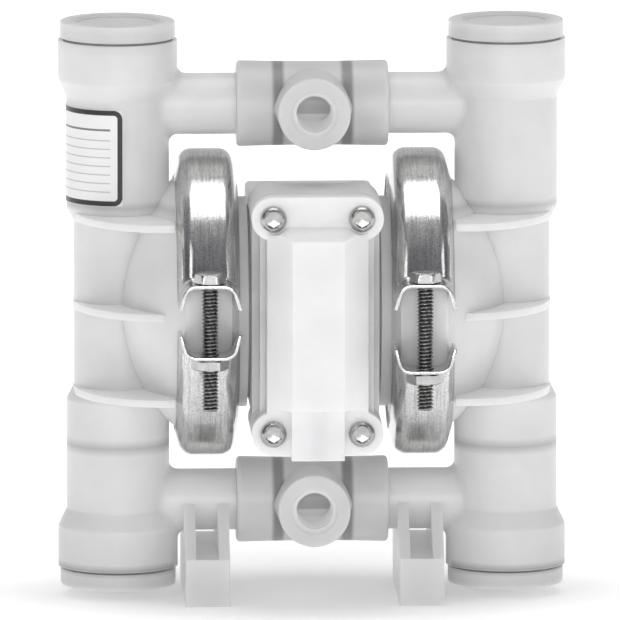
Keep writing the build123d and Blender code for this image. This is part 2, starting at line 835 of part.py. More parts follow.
for hand, side in (("left", -1), ("right", 1)):
    for half, up, ear in (("upper", 1, upper_ear_rise), ("lower", -1, lower_ear_rises[hand])):
        bend_rise = ear + ear_bend_radius
        bend_reach = sqrt((clamp_radius + ear_bend_radius) ** 2 - bend_rise**2)
        bend_angle = degrees(asin(bend_rise / (clamp_radius + ear_bend_radius)))
        with BuildPart() as clamp:
            for end in (-1, 1):
                outward = Vector(0, end * cos(radians(bend_angle)), up * sin(radians(bend_angle)))
                band_centre = Vector(side * clamp_offset, 0, shaft_height)
                bend_axis = Axis((0, end * bend_reach, shaft_height + up * bend_rise), (1, 0, 0))
                web = Plane(
                    origin=band_centre + outward * clamp_radius,
                    x_dir=(1, 0, 0),
                    z_dir=Vector(1, 0, 0).cross(outward),
                )
                section = channel_section(web)
                revolve(section, axis=shaft_axis, revolution_arc=up * end * (90 - bend_angle))
                revolve(section, axis=bend_axis, revolution_arc=up * end * (90 - bend_angle))
                ear_web = Plane(
                    origin=(side * clamp_offset, end * bend_reach, shaft_height + up * ear),
                    x_dir=(1, 0, 0),
                    z_dir=(0, -up, 0),
                )
                extrude(channel_section(ear_web), amount=-up * end * (ear_reach - bend_reach))
            with BuildSketch(Plane.XY.offset(shaft_height)):
                with Locations(*[(side * clamp_offset, end * bolt_reach) for end in (-1, 1)]):
                    Circle(bolt_hole_radius)
            extrude(amount=up * 2 * ear, mode=Mode.SUBTRACT)
        clamp.part.label = f"{hand}_{half}_clamp"
        export_step(clamp.part, f"parts/{hand}_{half}_clamp.step")

# Clamp bolts from above, nuts below, front and back on each clamp
for hand, side in (("left", -1), ("right", 1)):
    bolt_places = [(side * clamp_offset, end * bolt_reach) for end in (-1, 1)]
    with BuildPart() as bolts:
        with BuildSketch(Plane.XY.offset(shaft_height + upper_ear_rise)):
            with Locations(*bolt_places):
                RegularPolygon(hexagon_radius(bolt_head_flats), 6, rotation=bolt_head_turn)
        extrude(amount=bolt_head_height)
        with BuildSketch(Plane.XY.offset(shaft_height + upper_ear_rise)):
            with Locations(*bolt_places):
                Circle(bolt_radius)
        extrude(amount=-bolt_length)
    bolts.part.label = f"{hand}_clamp_bolts"
    export_step(bolts.part, f"parts/{hand}_clamp_bolts.step")
    with BuildPart() as nuts:
        with BuildSketch(Plane.XY.offset(shaft_height - lower_ear_rises[hand])):
            with Locations(*bolt_places):
                RegularPolygon(hexagon_radius(nut_flats), 6)
                Circle(nut_bore_radius, mode=Mode.SUBTRACT)
        extrude(amount=-nut_height)
    nuts.part.label = f"{hand}_clamp_nuts"
    export_step(nuts.part, f"parts/{hand}_clamp_nuts.step")

# Centre block with the valve housing and its four screw lobes
lobe_places = [(x * lobe_half_pitch_x, z * lobe_half_pitch_z) for x in (-1, 1) for z in (-1, 1)]
with BuildPart() as centre_block:
    with BuildSketch(shaft_plane.offset(-block_back)):
        RectangleRounded(2 * block_half_width, 2 * block_half_height, block_edge_radius)
    extrude(amount=block_back - block_front)
    with BuildSketch(shaft_plane.offset(-housing_back)):
        with Locations((0, (housing_top_rise + housing_bottom_rise) / 2)):
            RectangleRounded(
                2 * housing_half_width,
                housing_top_rise - housing_bottom_rise,
                housing_corner_radius,
            )
        with Locations(*lobe_places):
            Circle(lobe_radius)
    extrude(amount=housing_back - housing_front)
    with BuildSketch(Plane.YZ):
        with Locations((0, shaft_height)):
            Circle(bushing_radius + fit)
        with Locations((pilot_offset, shaft_height)):
            Circle(pilot_sleeve_radius + fit)
    extrude(amount=block_half_width, both=True, mode=Mode.SUBTRACT)
    for side in (-1, 1):
        with BuildSketch(Plane.YZ.offset(side * block_half_width)):
            with Locations((0, shaft_height)):
                with PolarLocations(side_screw_circle_radius, 4, start_angle=side_screw_angle):
                    Circle(side_screw_radius + fit)
        extrude(amount=-side * side_screw_length, mode=Mode.SUBTRACT)
    with BuildSketch(shaft_plane.offset(-housing_front)):
        with Locations(*lobe_places):
            Circle(valve_screw_radius + fit)
    extrude(amount=-valve_screw_length, mode=Mode.SUBTRACT)
    with BuildSketch(shaft_plane.offset(-housing_front)):
        with Locations((0, valve_port_rise), (0, -valve_port_rise)):
            Circle(valve_port_radius)
    extrude(amount=housing_front - block_back + plenum_depth / 2, mode=Mode.SUBTRACT)
    with BuildSketch(shaft_plane.offset(-block_back)):
        with Locations((0, plate_rise)):
            Rectangle(plenum_width, plenum_height)
    extrude(amount=plenum_depth, mode=Mode.SUBTRACT)
    with BuildSketch(shaft_plane.offset(-block_back)):
        with Locations((0, plate_rise)):
            with GridLocations(2 * plate_screw_half_width, 2 * plate_screw_half_height, 2, 2):
                Circle(plate_screw_radius + fit)
        with Locations((0, inlet_rise)):
            Circle(inlet_bushing_radius + fit)
    extrude(amount=inlet_bushing_length + inlet_bore_end_gap, mode=Mode.SUBTRACT)
centre_block.part.label = "centre_block"
export_step(centre_block.part, "parts/centre_block.step")

# Gaskets between the block and the air chambers
with BuildPart() as air_chamber_gaskets:
    for side in (-1, 1):
        with BuildSketch(Plane.YZ.offset(side * block_half_width)):
            with Locations((0, shaft_height)):
                Circle(side_gasket_radius)
                Circle(bushing_radius - fit, mode=Mode.SUBTRACT)
                with PolarLocations(side_screw_circle_radius, 4, start_angle=side_screw_angle):
                    Circle(side_screw_radius + fit, mode=Mode.SUBTRACT)
            with Locations((pilot_offset, shaft_height)):
                Circle(pilot_clear_radius, mode=Mode.SUBTRACT)
        extrude(amount=side * side_gasket_thickness)
air_chamber_gaskets.part.label = "air_chamber_gaskets"
export_step(air_chamber_gaskets.part, "parts/air_chamber_gaskets.step")

# Screws that hold the air chambers, driven from inside the bowls
with BuildPart() as air_chamber_screws:
    for side in (-1, 1):
        with BuildSketch(Plane.YZ.offset(side * air_bowl_floor)):
            with Locations((0, shaft_height)):
                with PolarLocations(side_screw_circle_radius, 4, start_angle=side_screw_angle):
                    Circle(side_screw_head_radius)
        extrude(amount=side * side_screw_head_height)
        with BuildSketch(Plane.YZ.offset(side * air_bowl_floor)):
            with Locations((0, shaft_height)):
                with PolarLocations(side_screw_circle_radius, 4, start_angle=side_screw_angle):
                    Circle(side_screw_radius)
        extrude(amount=-side * side_screw_length)
air_chamber_screws.part.label = "air_chamber_screws"
export_step(air_chamber_screws.part, "parts/air_chamber_screws.step")

# Valve body: lobed flange, eight sided barrel and the box over its lower end
spool_plane = Plane(origin=(0, spool_axis, shaft_height), x_dir=(1, 0, 0), z_dir=(0, 0, 1))
with BuildPart() as valve_body:
    with BuildSketch(shaft_plane.offset(-housing_front_gasket)):
        with Locations((0, (valve_top_rise - lobe_half_pitch_z) / 2)):
            Rectangle(2 * valve_half_width, valve_top_rise + lobe_half_pitch_z)
        with Locations((0, -lobe_half_pitch_z)):
            Rectangle(2 * lobe_half_pitch_x, 2 * lobe_radius)
        with Locations((0, lobe_half_pitch_z)):
            Rectangle(2 * lobe_half_pitch_x, 2 * lobe_radius)
        with Locations(*lobe_places):
            Circle(lobe_radius)
    extrude(amount=housing_front_gasket - valve_flange_front)
    barrel_length = barrel_top_rise - barrel_bottom_rise
    with BuildSketch(Plane.XY.offset(shaft_height + barrel_bottom_rise)):
        Polygon(
            (-valve_half_width, valve_flange_front),
            (-barrel_front_half_width, barrel_front),
            (barrel_front_half_width, barrel_front),
            (valve_half_width, valve_flange_front),
            align=None,
        )
    extrude(amount=barrel_length)
    with BuildSketch(Plane.YZ):
        Polygon(
            (valve_flange_front, shaft_height + barrel_top_rise),
            (barrel_front, shaft_height + barrel_top_rise),
            (barrel_front, shaft_height + barrel_front_top_rise),
            align=None,
        )
    extrude(amount=valve_half_width, both=True, mode=Mode.SUBTRACT)
    with BuildSketch(shaft_plane.offset(-valve_flange_front)):
        with Locations(*lobe_places):
            Circle(valve_screw_head_radius + valve_screw_head_clearance)
    extrude(amount=valve_flange_front - barrel_front, mode=Mode.SUBTRACT)
    with BuildSketch(Plane.XY.offset(shaft_height + box_bottom_rise)):
        with Locations((0, (housing_front_gasket + box_front) / 2)):
            Rectangle(2 * box_half_width, housing_front_gasket - box_front)
    extrude(amount=barrel_bottom_rise - box_bottom_rise)
    with BuildSketch(spool_plane.offset(box_bottom_rise)):
        Circle(sleeve_radius + fit)
    extrude(amount=sleeve_top_rise - box_bottom_rise, mode=Mode.SUBTRACT)
    with BuildSketch(shaft_plane.offset(-housing_front_gasket)):
        with Locations((0, valve_port_rise), (0, -valve_port_rise)):
            Circle(valve_port_radius)
    extrude(amount=housing_front_gasket - spool_axis, mode=Mode.SUBTRACT)
    with BuildSketch(shaft_plane.offset(-housing_front_gasket)):
        with Locations(*lobe_places):
            Circle(valve_screw_clear_radius)
    extrude(amount=housing_front_gasket - valve_flange_front, mode=Mode.SUBTRACT)
valve_body.part.label = "valve_body"
export_step(valve_body.part, "parts/valve_body.step")

# Gasket under the valve body
with BuildPart() as valve_gasket:
    with BuildSketch(shaft_plane.offset(-housing_front)):
        with Locations((0, (valve_top_rise - lobe_half_pitch_z) / 2)):
            Rectangle(2 * valve_half_width, valve_top_rise + lobe_half_pitch_z)
        with Locations(*lobe_places):
            Circle(lobe_radius)
        with Locations(*lobe_places):
            Circle(valve_screw_clear_radius, mode=Mode.SUBTRACT)
        with Locations((0, valve_port_rise), (0, -valve_port_rise)):
            Circle(valve_port_radius, mode=Mode.SUBTRACT)
    extrude(amount=valve_gasket_thickness)
valve_gasket.part.label = "valve_gasket"
export_step(valve_gasket.part, "parts/valve_gasket.step")

# Spool sleeve, cross drilled for the air ports
with BuildPart() as spool_sleeve:
    with BuildSketch(spool_plane.offset(sleeve_bottom_rise)):
        Circle(sleeve_radius)
        Circle(spool_radius + running_fit, mode=Mode.SUBTRACT)
    extrude(amount=sleeve_top_rise - sleeve_bottom_rise - fit)
    with BuildSketch(shaft_plane.offset(-spool_axis - sleeve_radius)):
        with Locations((0, valve_port_rise), (0, -valve_port_rise)):
            Circle(valve_port_radius)
    extrude(amount=sleeve_radius, mode=Mode.SUBTRACT)
spool_sleeve.part.label = "spool_sleeve"
export_step(spool_sleeve.part, "parts/spool_sleeve.step")

# Air valve spool with three lands
with BuildPart() as air_valve_spool:
    spool_low = sleeve_bottom_rise + spool_gap
    with BuildSketch(Plane(origin=(0, spool_axis, shaft_height), x_dir=(1, 0, 0), z_dir=(0, -1, 0))):
        with Locations((0, spool_low)):
            Rectangle(spool_radius, spool_length, align=(Align.MIN, Align.MIN))
        for side in (-1, 1):
            neck_rise = spool_low + spool_length / 2 + side * spool_neck_offset
            with Locations((spool_neck_radius, neck_rise)):
                Rectangle(
                    spool_radius,
                    spool_neck_length,
                    align=(Align.MIN, Align.CENTER),
                    mode=Mode.SUBTRACT,
                )
    revolve(axis=Axis((0, spool_axis, 0), (0, 0, 1)))
air_valve_spool.part.label = "air_valve_spool"
export_step(air_valve_spool.part, "parts/air_valve_spool.step")

# End cap that closes the spool bore from below, with its seal
with BuildPart() as spool_end_cap:
    with BuildSketch(spool_plane.offset(box_bottom_rise)):
        Circle(sleeve_radius)
    extrude(amount=sleeve_bottom_rise - box_bottom_rise - fit)
    end_cap_groove = (box_bottom_rise + sleeve_bottom_rise) / 2
    with BuildSketch(spool_plane.offset(end_cap_groove)):
        Circle(sleeve_radius)
        Circle(sleeve_radius - 2 * end_cap_seal_section, mode=Mode.SUBTRACT)
    extrude(amount=end_cap_groove_half_width, both=True, mode=Mode.SUBTRACT)
    with BuildSketch(spool_plane.offset(box_bottom_rise)):
        Rectangle(2 * sleeve_radius, end_cap_slot_width)
    extrude(amount=end_cap_slot_depth, mode=Mode.SUBTRACT)
spool_end_cap.part.label = "spool_end_cap"
export_step(spool_end_cap.part, "parts/spool_end_cap.step")

with BuildPart() as end_cap_seal:
    with Locations((0, spool_axis, shaft_height + end_cap_groove)):
        Torus(sleeve_radius - end_cap_seal_section + fit / 2, end_cap_seal_section)
end_cap_seal.part.label = "end_cap_seal"
export_step(end_cap_seal.part, "parts/end_cap_seal.step")

# Four button head screws of the air valve
with BuildPart() as valve_screws:
    with BuildSketch(shaft_plane.offset(-valve_flange_front)):
        with Locations(*lobe_places):
            Circle(valve_screw_head_radius)
    extrude(amount=valve_screw_head_height)
    head_rims = valve_screws.edges().filter_by(GeomType.CIRCLE).sort_by(Axis.Y)[:4]
    fillet(head_rims, valve_screw_head_fillet)
    with BuildSketch(shaft_plane.offset(-valve_flange_front)):
        with Locations(*lobe_places):
            Circle(valve_screw_radius)
    extrude(amount=-valve_screw_length)
    with BuildSketch(shaft_plane.offset(-valve_flange_front + valve_screw_head_height)):
        with Locations(*lobe_places):
            RegularPolygon(hexagon_radius(valve_screw_socket_flats), 6)
    extrude(amount=-valve_screw_socket_depth, mode=Mode.SUBTRACT)
valve_screws.part.label = "valve_screws"
export_step(valve_screws.part, "parts/valve_screws.step")

# Exhaust plate at the back with its gasket, screws and the silencer
plate_face = block_back + plate_gasket_thickness
with BuildPart() as exhaust_plate_gasket:
    with BuildSketch(shaft_plane.offset(-block_back)):
        with Locations((0, plate_rise)):
            RectangleRounded(plate_width, plate_height, plate_corner_radius)
            Rectangle(plenum_width, plenum_height, mode=Mode.SUBTRACT)
            with GridLocations(2 * plate_screw_half_width, 2 * plate_screw_half_height, 2, 2):
                Circle(plate_screw_radius + fit, mode=Mode.SUBTRACT)
    extrude(amount=-plate_gasket_thickness)
exhaust_plate_gasket.part.label = "exhaust_plate_gasket"
export_step(exhaust_plate_gasket.part, "parts/exhaust_plate_gasket.step")

with BuildPart() as exhaust_plate:
    with BuildSketch(shaft_plane.offset(-plate_face)):
        with Locations((0, plate_rise)):
            RectangleRounded(plate_width, plate_height, plate_corner_radius)
            Circle(silencer_stub_radius + fit, mode=Mode.SUBTRACT)
            with GridLocations(2 * plate_screw_half_width, 2 * plate_screw_half_height, 2, 2):
                Circle(plate_screw_radius + fit, mode=Mode.SUBTRACT)
    extrude(amount=-plate_thickness)
exhaust_plate.part.label = "exhaust_plate"
export_step(exhaust_plate.part, "parts/exhaust_plate.step")

with BuildPart() as exhaust_plate_screws:
    with BuildSketch(shaft_plane.offset(-plate_face - plate_thickness)):
        with Locations((0, plate_rise)):
            with GridLocations(2 * plate_screw_half_width, 2 * plate_screw_half_height, 2, 2):
                Circle(plate_screw_head_radius)
    extrude(amount=-plate_screw_head_height)
    with BuildSketch(shaft_plane.offset(-plate_face - plate_thickness)):
        with Locations((0, plate_rise)):
            with GridLocations(2 * plate_screw_half_width, 2 * plate_screw_half_height, 2, 2):
                Circle(plate_screw_radius)
    extrude(amount=plate_screw_length)
exhaust_plate_screws.part.label = "exhaust_plate_screws"
export_step(exhaust_plate_screws.part, "parts/exhaust_plate_screws.step")

plate_back = plate_face + plate_thickness
with BuildPart() as silencer:
    with BuildSketch(shaft_plane.offset(-plate_back)):
        with Locations((0, plate_rise)):
            Circle(silencer_stub_radius)
    extrude(amount=silencer_stub_length)
    with BuildSketch(shaft_plane.offset(-plate_back)):
        with Locations((0, plate_rise)):
            RegularPolygon(hexagon_radius(silencer_hex_flats), 6)
    extrude(amount=-silencer_hex_length)
    with BuildSketch(shaft_plane.offset(-plate_back - silencer_hex_length)):
        with Locations((0, plate_rise)):
            Circle(silencer_radius)
    extrude(amount=-silencer_length)
    far_rim = silencer.edges().filter_by(GeomType.CIRCLE).sort_by(Axis.Y)[-1]
    fillet(far_rim, silencer_edge_radius)
    with BuildSketch(shaft_plane.offset(-plate_back + silencer_stub_length)):
        with Locations((0, plate_rise)):
            Circle(silencer_bore_radius)
    silencer_full_length = silencer_stub_length + silencer_hex_length + silencer_length
    extrude(amount=silencer_end_wall - silencer_full_length, mode=Mode.SUBTRACT)
silencer.part.label = "silencer"
export_step(silencer.part, "parts/silencer.step")

# Air inlet bushing
with BuildPart() as air_inlet_bushing:
    with BuildSketch(shaft_plane.offset(-block_back)):
        with Locations((0, inlet_rise)):
            Circle(inlet_bushing_radius)
    extrude(amount=inlet_bushing_length)
    with BuildSketch(shaft_plane.offset(-block_back)):
        with Locations((0, inlet_rise)):
            RegularPolygon(hexagon_radius(inlet_hex_flats), 6)
    extrude(amount=-inlet_hex_length)
    with BuildSketch(shaft_plane.offset(-block_back - inlet_hex_length)):
        with Locations((0, inlet_rise)):
            Circle(inlet_bore_radius)
    extrude(amount=inlet_hex_length + inlet_bushing_length, mode=Mode.SUBTRACT)
air_inlet_bushing.part.label = "air_inlet_bushing"
export_step(air_inlet_bushing.part, "parts/air_inlet_bushing.step")

# Blank label wrapped round the neck of the left column
with BuildPart() as column_label:
    label_low = shaft_height + (neck_start_rise + neck_end_rise - label_height) / 2
    label_plane = Plane(origin=(-column_offset, 0, label_low), x_dir=(0, -1, 0), z_dir=(0, 0, 1))
    label_inner = neck_radius + label_gap
    with BuildSketch(label_plane):
        with BuildLine():
            inner = CenterArc((0, 0), label_inner, label_start_angle, -label_sweep)
            outer = CenterArc((0, 0), label_inner + label_thickness, label_start_angle, -label_sweep)
            Line(inner @ 0, outer @ 0)
            Line(inner @ 1, outer @ 1)
        make_face()
    extrude(amount=label_height)
column_label.part.label = "column_label"
export_step(column_label.part, "parts/column_label.step")

# Pieces made once for the right side and mirrored for the left
mirrored_pieces = {
    "liquid_chamber": right_liquid_chamber,
    "air_chamber": right_air_chamber,
    "diaphragm": right_diaphragm,
    "inner_piston": right_inner_piston,
    "outer_piston": right_outer_piston,
}
for name, right_piece in mirrored_pieces.items():
    right_piece.part.label = f"right_{name}"
    export_step(right_piece.part, f"parts/right_{name}.step")
    with BuildPart() as left_piece:
        mirror(right_piece.part, about=Plane.YZ)
    left_piece.part.label = f"left_{name}"
    export_step(left_piece.part, f"parts/left_{name}.step")
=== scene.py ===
"""Air operated diaphragm pump: finishes, detailed pieces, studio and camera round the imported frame."""

from __future__ import annotations

import json
import logging
import math
from dataclasses import dataclass
from enum import Enum
from typing import Sequence

import bmesh
import bpy
from mathutils import Matrix, Vector

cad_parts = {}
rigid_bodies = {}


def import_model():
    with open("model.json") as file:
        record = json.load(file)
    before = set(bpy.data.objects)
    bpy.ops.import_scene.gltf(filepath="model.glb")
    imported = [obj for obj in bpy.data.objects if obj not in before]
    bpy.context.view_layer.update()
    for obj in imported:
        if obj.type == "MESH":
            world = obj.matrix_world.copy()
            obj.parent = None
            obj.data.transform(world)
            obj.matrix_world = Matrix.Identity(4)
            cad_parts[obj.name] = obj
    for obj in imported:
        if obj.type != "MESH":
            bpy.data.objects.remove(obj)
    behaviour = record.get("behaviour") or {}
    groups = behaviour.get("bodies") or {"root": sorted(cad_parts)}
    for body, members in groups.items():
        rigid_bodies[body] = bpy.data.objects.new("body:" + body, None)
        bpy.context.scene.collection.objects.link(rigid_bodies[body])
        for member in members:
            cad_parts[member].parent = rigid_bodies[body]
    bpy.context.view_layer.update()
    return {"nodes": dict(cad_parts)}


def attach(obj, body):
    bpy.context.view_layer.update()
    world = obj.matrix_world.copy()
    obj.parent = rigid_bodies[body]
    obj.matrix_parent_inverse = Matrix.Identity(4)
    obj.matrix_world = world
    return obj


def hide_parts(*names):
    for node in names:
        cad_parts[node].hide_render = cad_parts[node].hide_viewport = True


for leftover in list(bpy.data.objects):
    bpy.data.objects.remove(leftover)
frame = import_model()

MM = 0.001
PUMP_BODY = "pump_body"
LOG = logging.getLogger("pump")


class Wire:
    """A socket whose value takes part in Python arithmetic."""

    def __init__(self, graph: Graph, socket: bpy.types.NodeSocket) -> None:
        """Keeps the socket with the tree that it belongs to.

        Args:
            graph: Tree that the socket is in.
            socket: Output socket of one of its nodes.
        """
        self.graph = graph
        self.socket = socket

    def reckon(self, operation: str, *values: float | Wire) -> Wire:
        """Adds one Math node.

        Args:
            operation: Name of the Math node's operation.
            values: Its operands, in order.

        Returns:
            The node's result.
        """
        return self.graph.add("ShaderNodeMath", {"operation": operation}, dict(enumerate(values)))

    def __add__(self, other: float | Wire) -> Wire:
        """Sum."""
        return self.reckon("ADD", self, other)

    def __radd__(self, other: float | Wire) -> Wire:
        """Sum with a number on the left."""
        return self.reckon("ADD", other, self)

    def __sub__(self, other: float | Wire) -> Wire:
        """Difference."""
        return self.reckon("SUBTRACT", self, other)

    def __rsub__(self, other: float | Wire) -> Wire:
        """Difference from a number on the left."""
        return self.reckon("SUBTRACT", other, self)

    def __mul__(self, other: float | Wire) -> Wire:
        """Product."""
        return self.reckon("MULTIPLY", self, other)

    def __rmul__(self, other: float | Wire) -> Wire:
        """Product with a number on the left."""
        return self.reckon("MULTIPLY", other, self)

    def __truediv__(self, other: float | Wire) -> Wire:
        """Quotient."""
        return self.reckon("DIVIDE", self, other)

    def __rtruediv__(self, other: float | Wire) -> Wire:
        """Quotient with a number on the left."""
        return self.reckon("DIVIDE", other, self)

    def __mod__(self, other: float | Wire) -> Wire:
        """Remainder that is never negative."""
        return self.reckon("FLOORED_MODULO", self, other)

    def __abs__(self) -> Wire:
        """Size without its sign."""
        return self.reckon("ABSOLUTE", self)

    def __gt__(self, other: float | Wire) -> Wire:
        """1 where the value is greater, else 0."""
        return self.reckon("GREATER_THAN", self, other)

    def __lt__(self, other: float | Wire) -> Wire:
        """1 where the value is less, else 0."""
        return self.reckon("LESS_THAN", self, other)

    def least(self, other: float | Wire) -> Wire:
        """Smaller of the two values."""
        return self.reckon("MINIMUM", self, other)

    def most(self, other: float | Wire) -> Wire:
        """Larger of the two values."""
        return self.reckon("MAXIMUM", self, other)

    def within(self, low: float, high: float) -> Wire:
        """Value held between two limits."""
        return self.most(low).least(high)

    def step(self, low: float, high: float) -> Wire:
        """0 at low, 1 at high, straight between and level outside."""
        return ((self - low) / (high - low)).within(0.0, 1.0)

    def bump_at(self, middle: float, half_width: float) -> Wire:
        """1 at the middle, falling straight to 0 half a width away."""
        return (1 - abs(self - middle) / half_width).most(0.0)

    def sine(self) -> Wire:
        """Sine of the value in radians."""
        return self.reckon("SINE", self)

    def root(self) -> Wire:
        """Square root of the value."""
        return self.reckon("SQRT", self)

    def cosine(self) -> Wire:
        """Cosine of the value in radians."""
        return self.reckon("COSINE", self)


class Graph:
    """A node tree with one way to add nodes."""

    def __init__(self, tree: bpy.types.NodeTree) -> None:
        """Keeps the tree, emptied.

        Args:
            tree: Node tree to fill.
        """
        self.tree = tree
        tree.nodes.clear()

    def add(
        self,
        kind: str,
        settings: dict[str, object] | None = None,
        inputs: dict[str | int, object] | None = None,
        output: str | int = 0,
    ) -> Wire | None:
        """Adds a node, with its settings first and then its sockets.

        Args:
            kind: Blender's name for the node type.
            settings: Properties of the node, and "stops" for a colour ramp.
            inputs: Values or wires for its input sockets.
            output: Output socket to hand back.

        Returns:
            The chosen output, or nothing from a node that has none.
        """
        node = self.tree.nodes.new(kind)
        for key, value in (settings or {}).items():
            if key == "stops":
                self.set_stops(node.color_ramp, value)
            else:
                setattr(node, key, value)
        for key, value in (inputs or {}).items():
            socket = node.inputs[key]
            if isinstance(value, Wire):
                self.tree.links.new(value.socket, socket)
            else:
                socket.default_value = value
        return Wire(self, node.outputs[output]) if len(node.outputs) else None

    @staticmethod
    def set_stops(ramp: bpy.types.ColorRamp, stops: Sequence[tuple[float, tuple]]) -> None:
        """Gives a colour ramp its stops.

        Args:
            ramp: Ramp with its two first stops.
            stops: Place and colour of each stop.
        """
        while len(ramp.elements) < len(stops):
            ramp.elements.new(0.5)
        for element, (place, colour) in zip(ramp.elements, stops):
            element.position = place
            element.color = colour

    def mix(self, factor: float | Wire, first: object, second: object) -> Wire:
        """Colour between two colours."""
        inputs = {"Factor": factor, 6: first, 7: second}
        return self.add("ShaderNodeMix", {"data_type": "RGBA"}, inputs, output=2)


class GeometryTree(Graph):
    """A geometry node tree with named inputs, ending in Realize Instances and Set Material."""

    def __init__(self, name: str) -> None:
        """Starts the tree with its geometry and material inputs.

        Args:
            name: Name of the tree.
        """
        super().__init__(bpy.data.node_groups.new(name, "GeometryNodeTree"))
        self.entry = self.tree.nodes.new("NodeGroupInput")
        self.exit = self.tree.nodes.new("NodeGroupOutput")
        self.keys: dict[str, str] = {}
        self.tree.interface.new_socket("Geometry", in_out="OUTPUT", socket_type="NodeSocketGeometry")
        self.base = self.input("Base", "NodeSocketGeometry")
        self.material = self.input("Material", "NodeSocketMaterial")

    def input(self, name: str, kind: str = "NodeSocketFloat") -> Wire:
        """Adds a named input.

        Args:
            name: Name of the input.
            kind: Blender's name for its socket type.

        Returns:
            The input's wire inside the tree.
        """
        item = self.tree.interface.new_socket(name, in_out="INPUT", socket_type=kind)
        self.keys[name] = item.identifier
        return Wire(self, self.entry.outputs[name])

    def vector(self, x: float | Wire, y: float | Wire, z: float | Wire) -> Wire:
        """Vector from three values."""
        return self.add("ShaderNodeCombineXYZ", inputs={"X": x, "Y": y, "Z": z})

    def close(self, geometry: Wire) -> None:
        """Ends the tree.

        Args:
            geometry: What the tree makes.
        """
        realized = self.add("GeometryNodeRealizeInstances", inputs={"Geometry": geometry})
        dressed = self.add(
            "GeometryNodeSetMaterial", inputs={"Geometry": realized, "Material": self.material}
        )
        self.tree.links.new(dressed.socket, self.exit.inputs[0])

    def make(
        self,
        name: str,
        material: bpy.types.Material,
        values: dict[str, object],
        base: bpy.types.Mesh | None = None,
    ) -> bpy.types.Object:
        """Runs the tree and keeps its result as a plain mesh.

        Args:
            name: Name of the piece.
            material: Finish of the piece.
            values: Value of each named input.
            base: Mesh that the tree repeats or adds to.

        Returns:
            The piece, with no modifier left.
        """
        mesh = base or bpy.data.meshes.new(name)
        obj = linked(name, mesh)
        modifier = obj.modifiers.new("rule", "NODES")
        modifier.node_group = self.tree
        modifier[self.keys["Material"]] = material
        for key, value in values.items():
            modifier[self.keys[key]] = value
        return applied(obj)


def in_metres(place: Sequence[float]) -> tuple[float, ...]:
    """A place or a step in millimetres, turned to metres."""
    return tuple(value * MM for value in place)


def linked(name: str, mesh: bpy.types.Mesh) -> bpy.types.Object:
    """Puts a mesh in the scene as an object.

    Args:
        name: Name of the object.
        mesh: Its mesh.

    Returns:
        The new object.
    """
    obj = bpy.data.objects.new(name, mesh)
    bpy.context.scene.collection.objects.link(obj)
    return obj


def applied(obj: bpy.types.Object) -> bpy.types.Object:
    """Turns an object's modifiers into its plain mesh.

    Args:
        obj: Object with modifiers.

    Returns:
        The same object, with none.
    """
    depsgraph = bpy.context.evaluated_depsgraph_get()
    depsgraph.update()
    mesh = bpy.data.meshes.new_from_object(obj.evaluated_get(depsgraph), depsgraph=depsgraph)
    obj.modifiers.clear()
    obj.data = mesh
    return obj


def shaded(obj: bpy.types.Object, angle: float = 35.0) -> bpy.types.Object:
    """Shades an object smooth.

    Args:
        obj: Object to shade.
        angle: Angle in degrees past which an edge stays sharp.

    Returns:
        The same object.
    """
    for polygon in obj.data.polygons:
        polygon.use_smooth = True
    obj.data.set_sharp_from_angle(angle=math.radians(angle))
    return obj


def dressed(obj: bpy.types.Object, material: bpy.types.Material) -> bpy.types.Object:
    """Gives a whole object one material.

    Args:
        obj: Object to dress.
        material: Its only material.

    Returns:
        The same object.
    """
    obj.data.materials.clear()
    obj.data.materials.append(material)
    return obj


@dataclass(frozen=True)
class Knot:
    """Corner of a turned profile, in millimetres.

    A knot with flats lies no further out than a hexagon of that width, so it makes a hexagonal
    head or socket.
    """

    radius: float
    height: float
    flats: float = 0.0

    def reach(self, angle: float) -> float:
        """Radius of this corner at an angle round the axis.

        Args:
            angle: Angle in radians.

        Returns:
            The radius in millimetres.
        """
        if not self.flats:
            return self.radius
        turn = (angle + math.pi / 6) % (math.pi / 3) - math.pi / 6
        return min(self.radius, self.flats / 2 / math.cos(turn))


def rounded(corners: Sequence[tuple[float, ...]], steps: int = 5) -> list[Knot]:
    """Profile with its corners rounded.

    Args:
        corners: Radius, height and, where it is rounded, fillet radius of each corner.
        steps: Points of each fillet.

    Returns:
        The knots of the profile.
    """
    knots = []
    for index, corner in enumerate(corners):
        here = Vector(corner[:2])
        fillet = corner[2] if len(corner) > 2 else 0.0
        if not fillet:
            knots.append(Knot(*here))
            continue
        before = (Vector(corners[index - 1][:2]) - here).normalized()
        after = (Vector(corners[(index + 1) % len(corners)][:2]) - here).normalized()
        half_angle = before.angle(after) / 2
        centre = here + (before + after).normalized() * (fillet / math.sin(half_angle))
        start = here + before * (fillet / math.tan(half_angle)) - centre
        end = here + after * (fillet / math.tan(half_angle)) - centre
        for number in range(steps + 1):
            way = start.normalized().slerp(end.normalized(), number / steps)
            knots.append(Knot(*(centre + way * fillet)))
    return knots


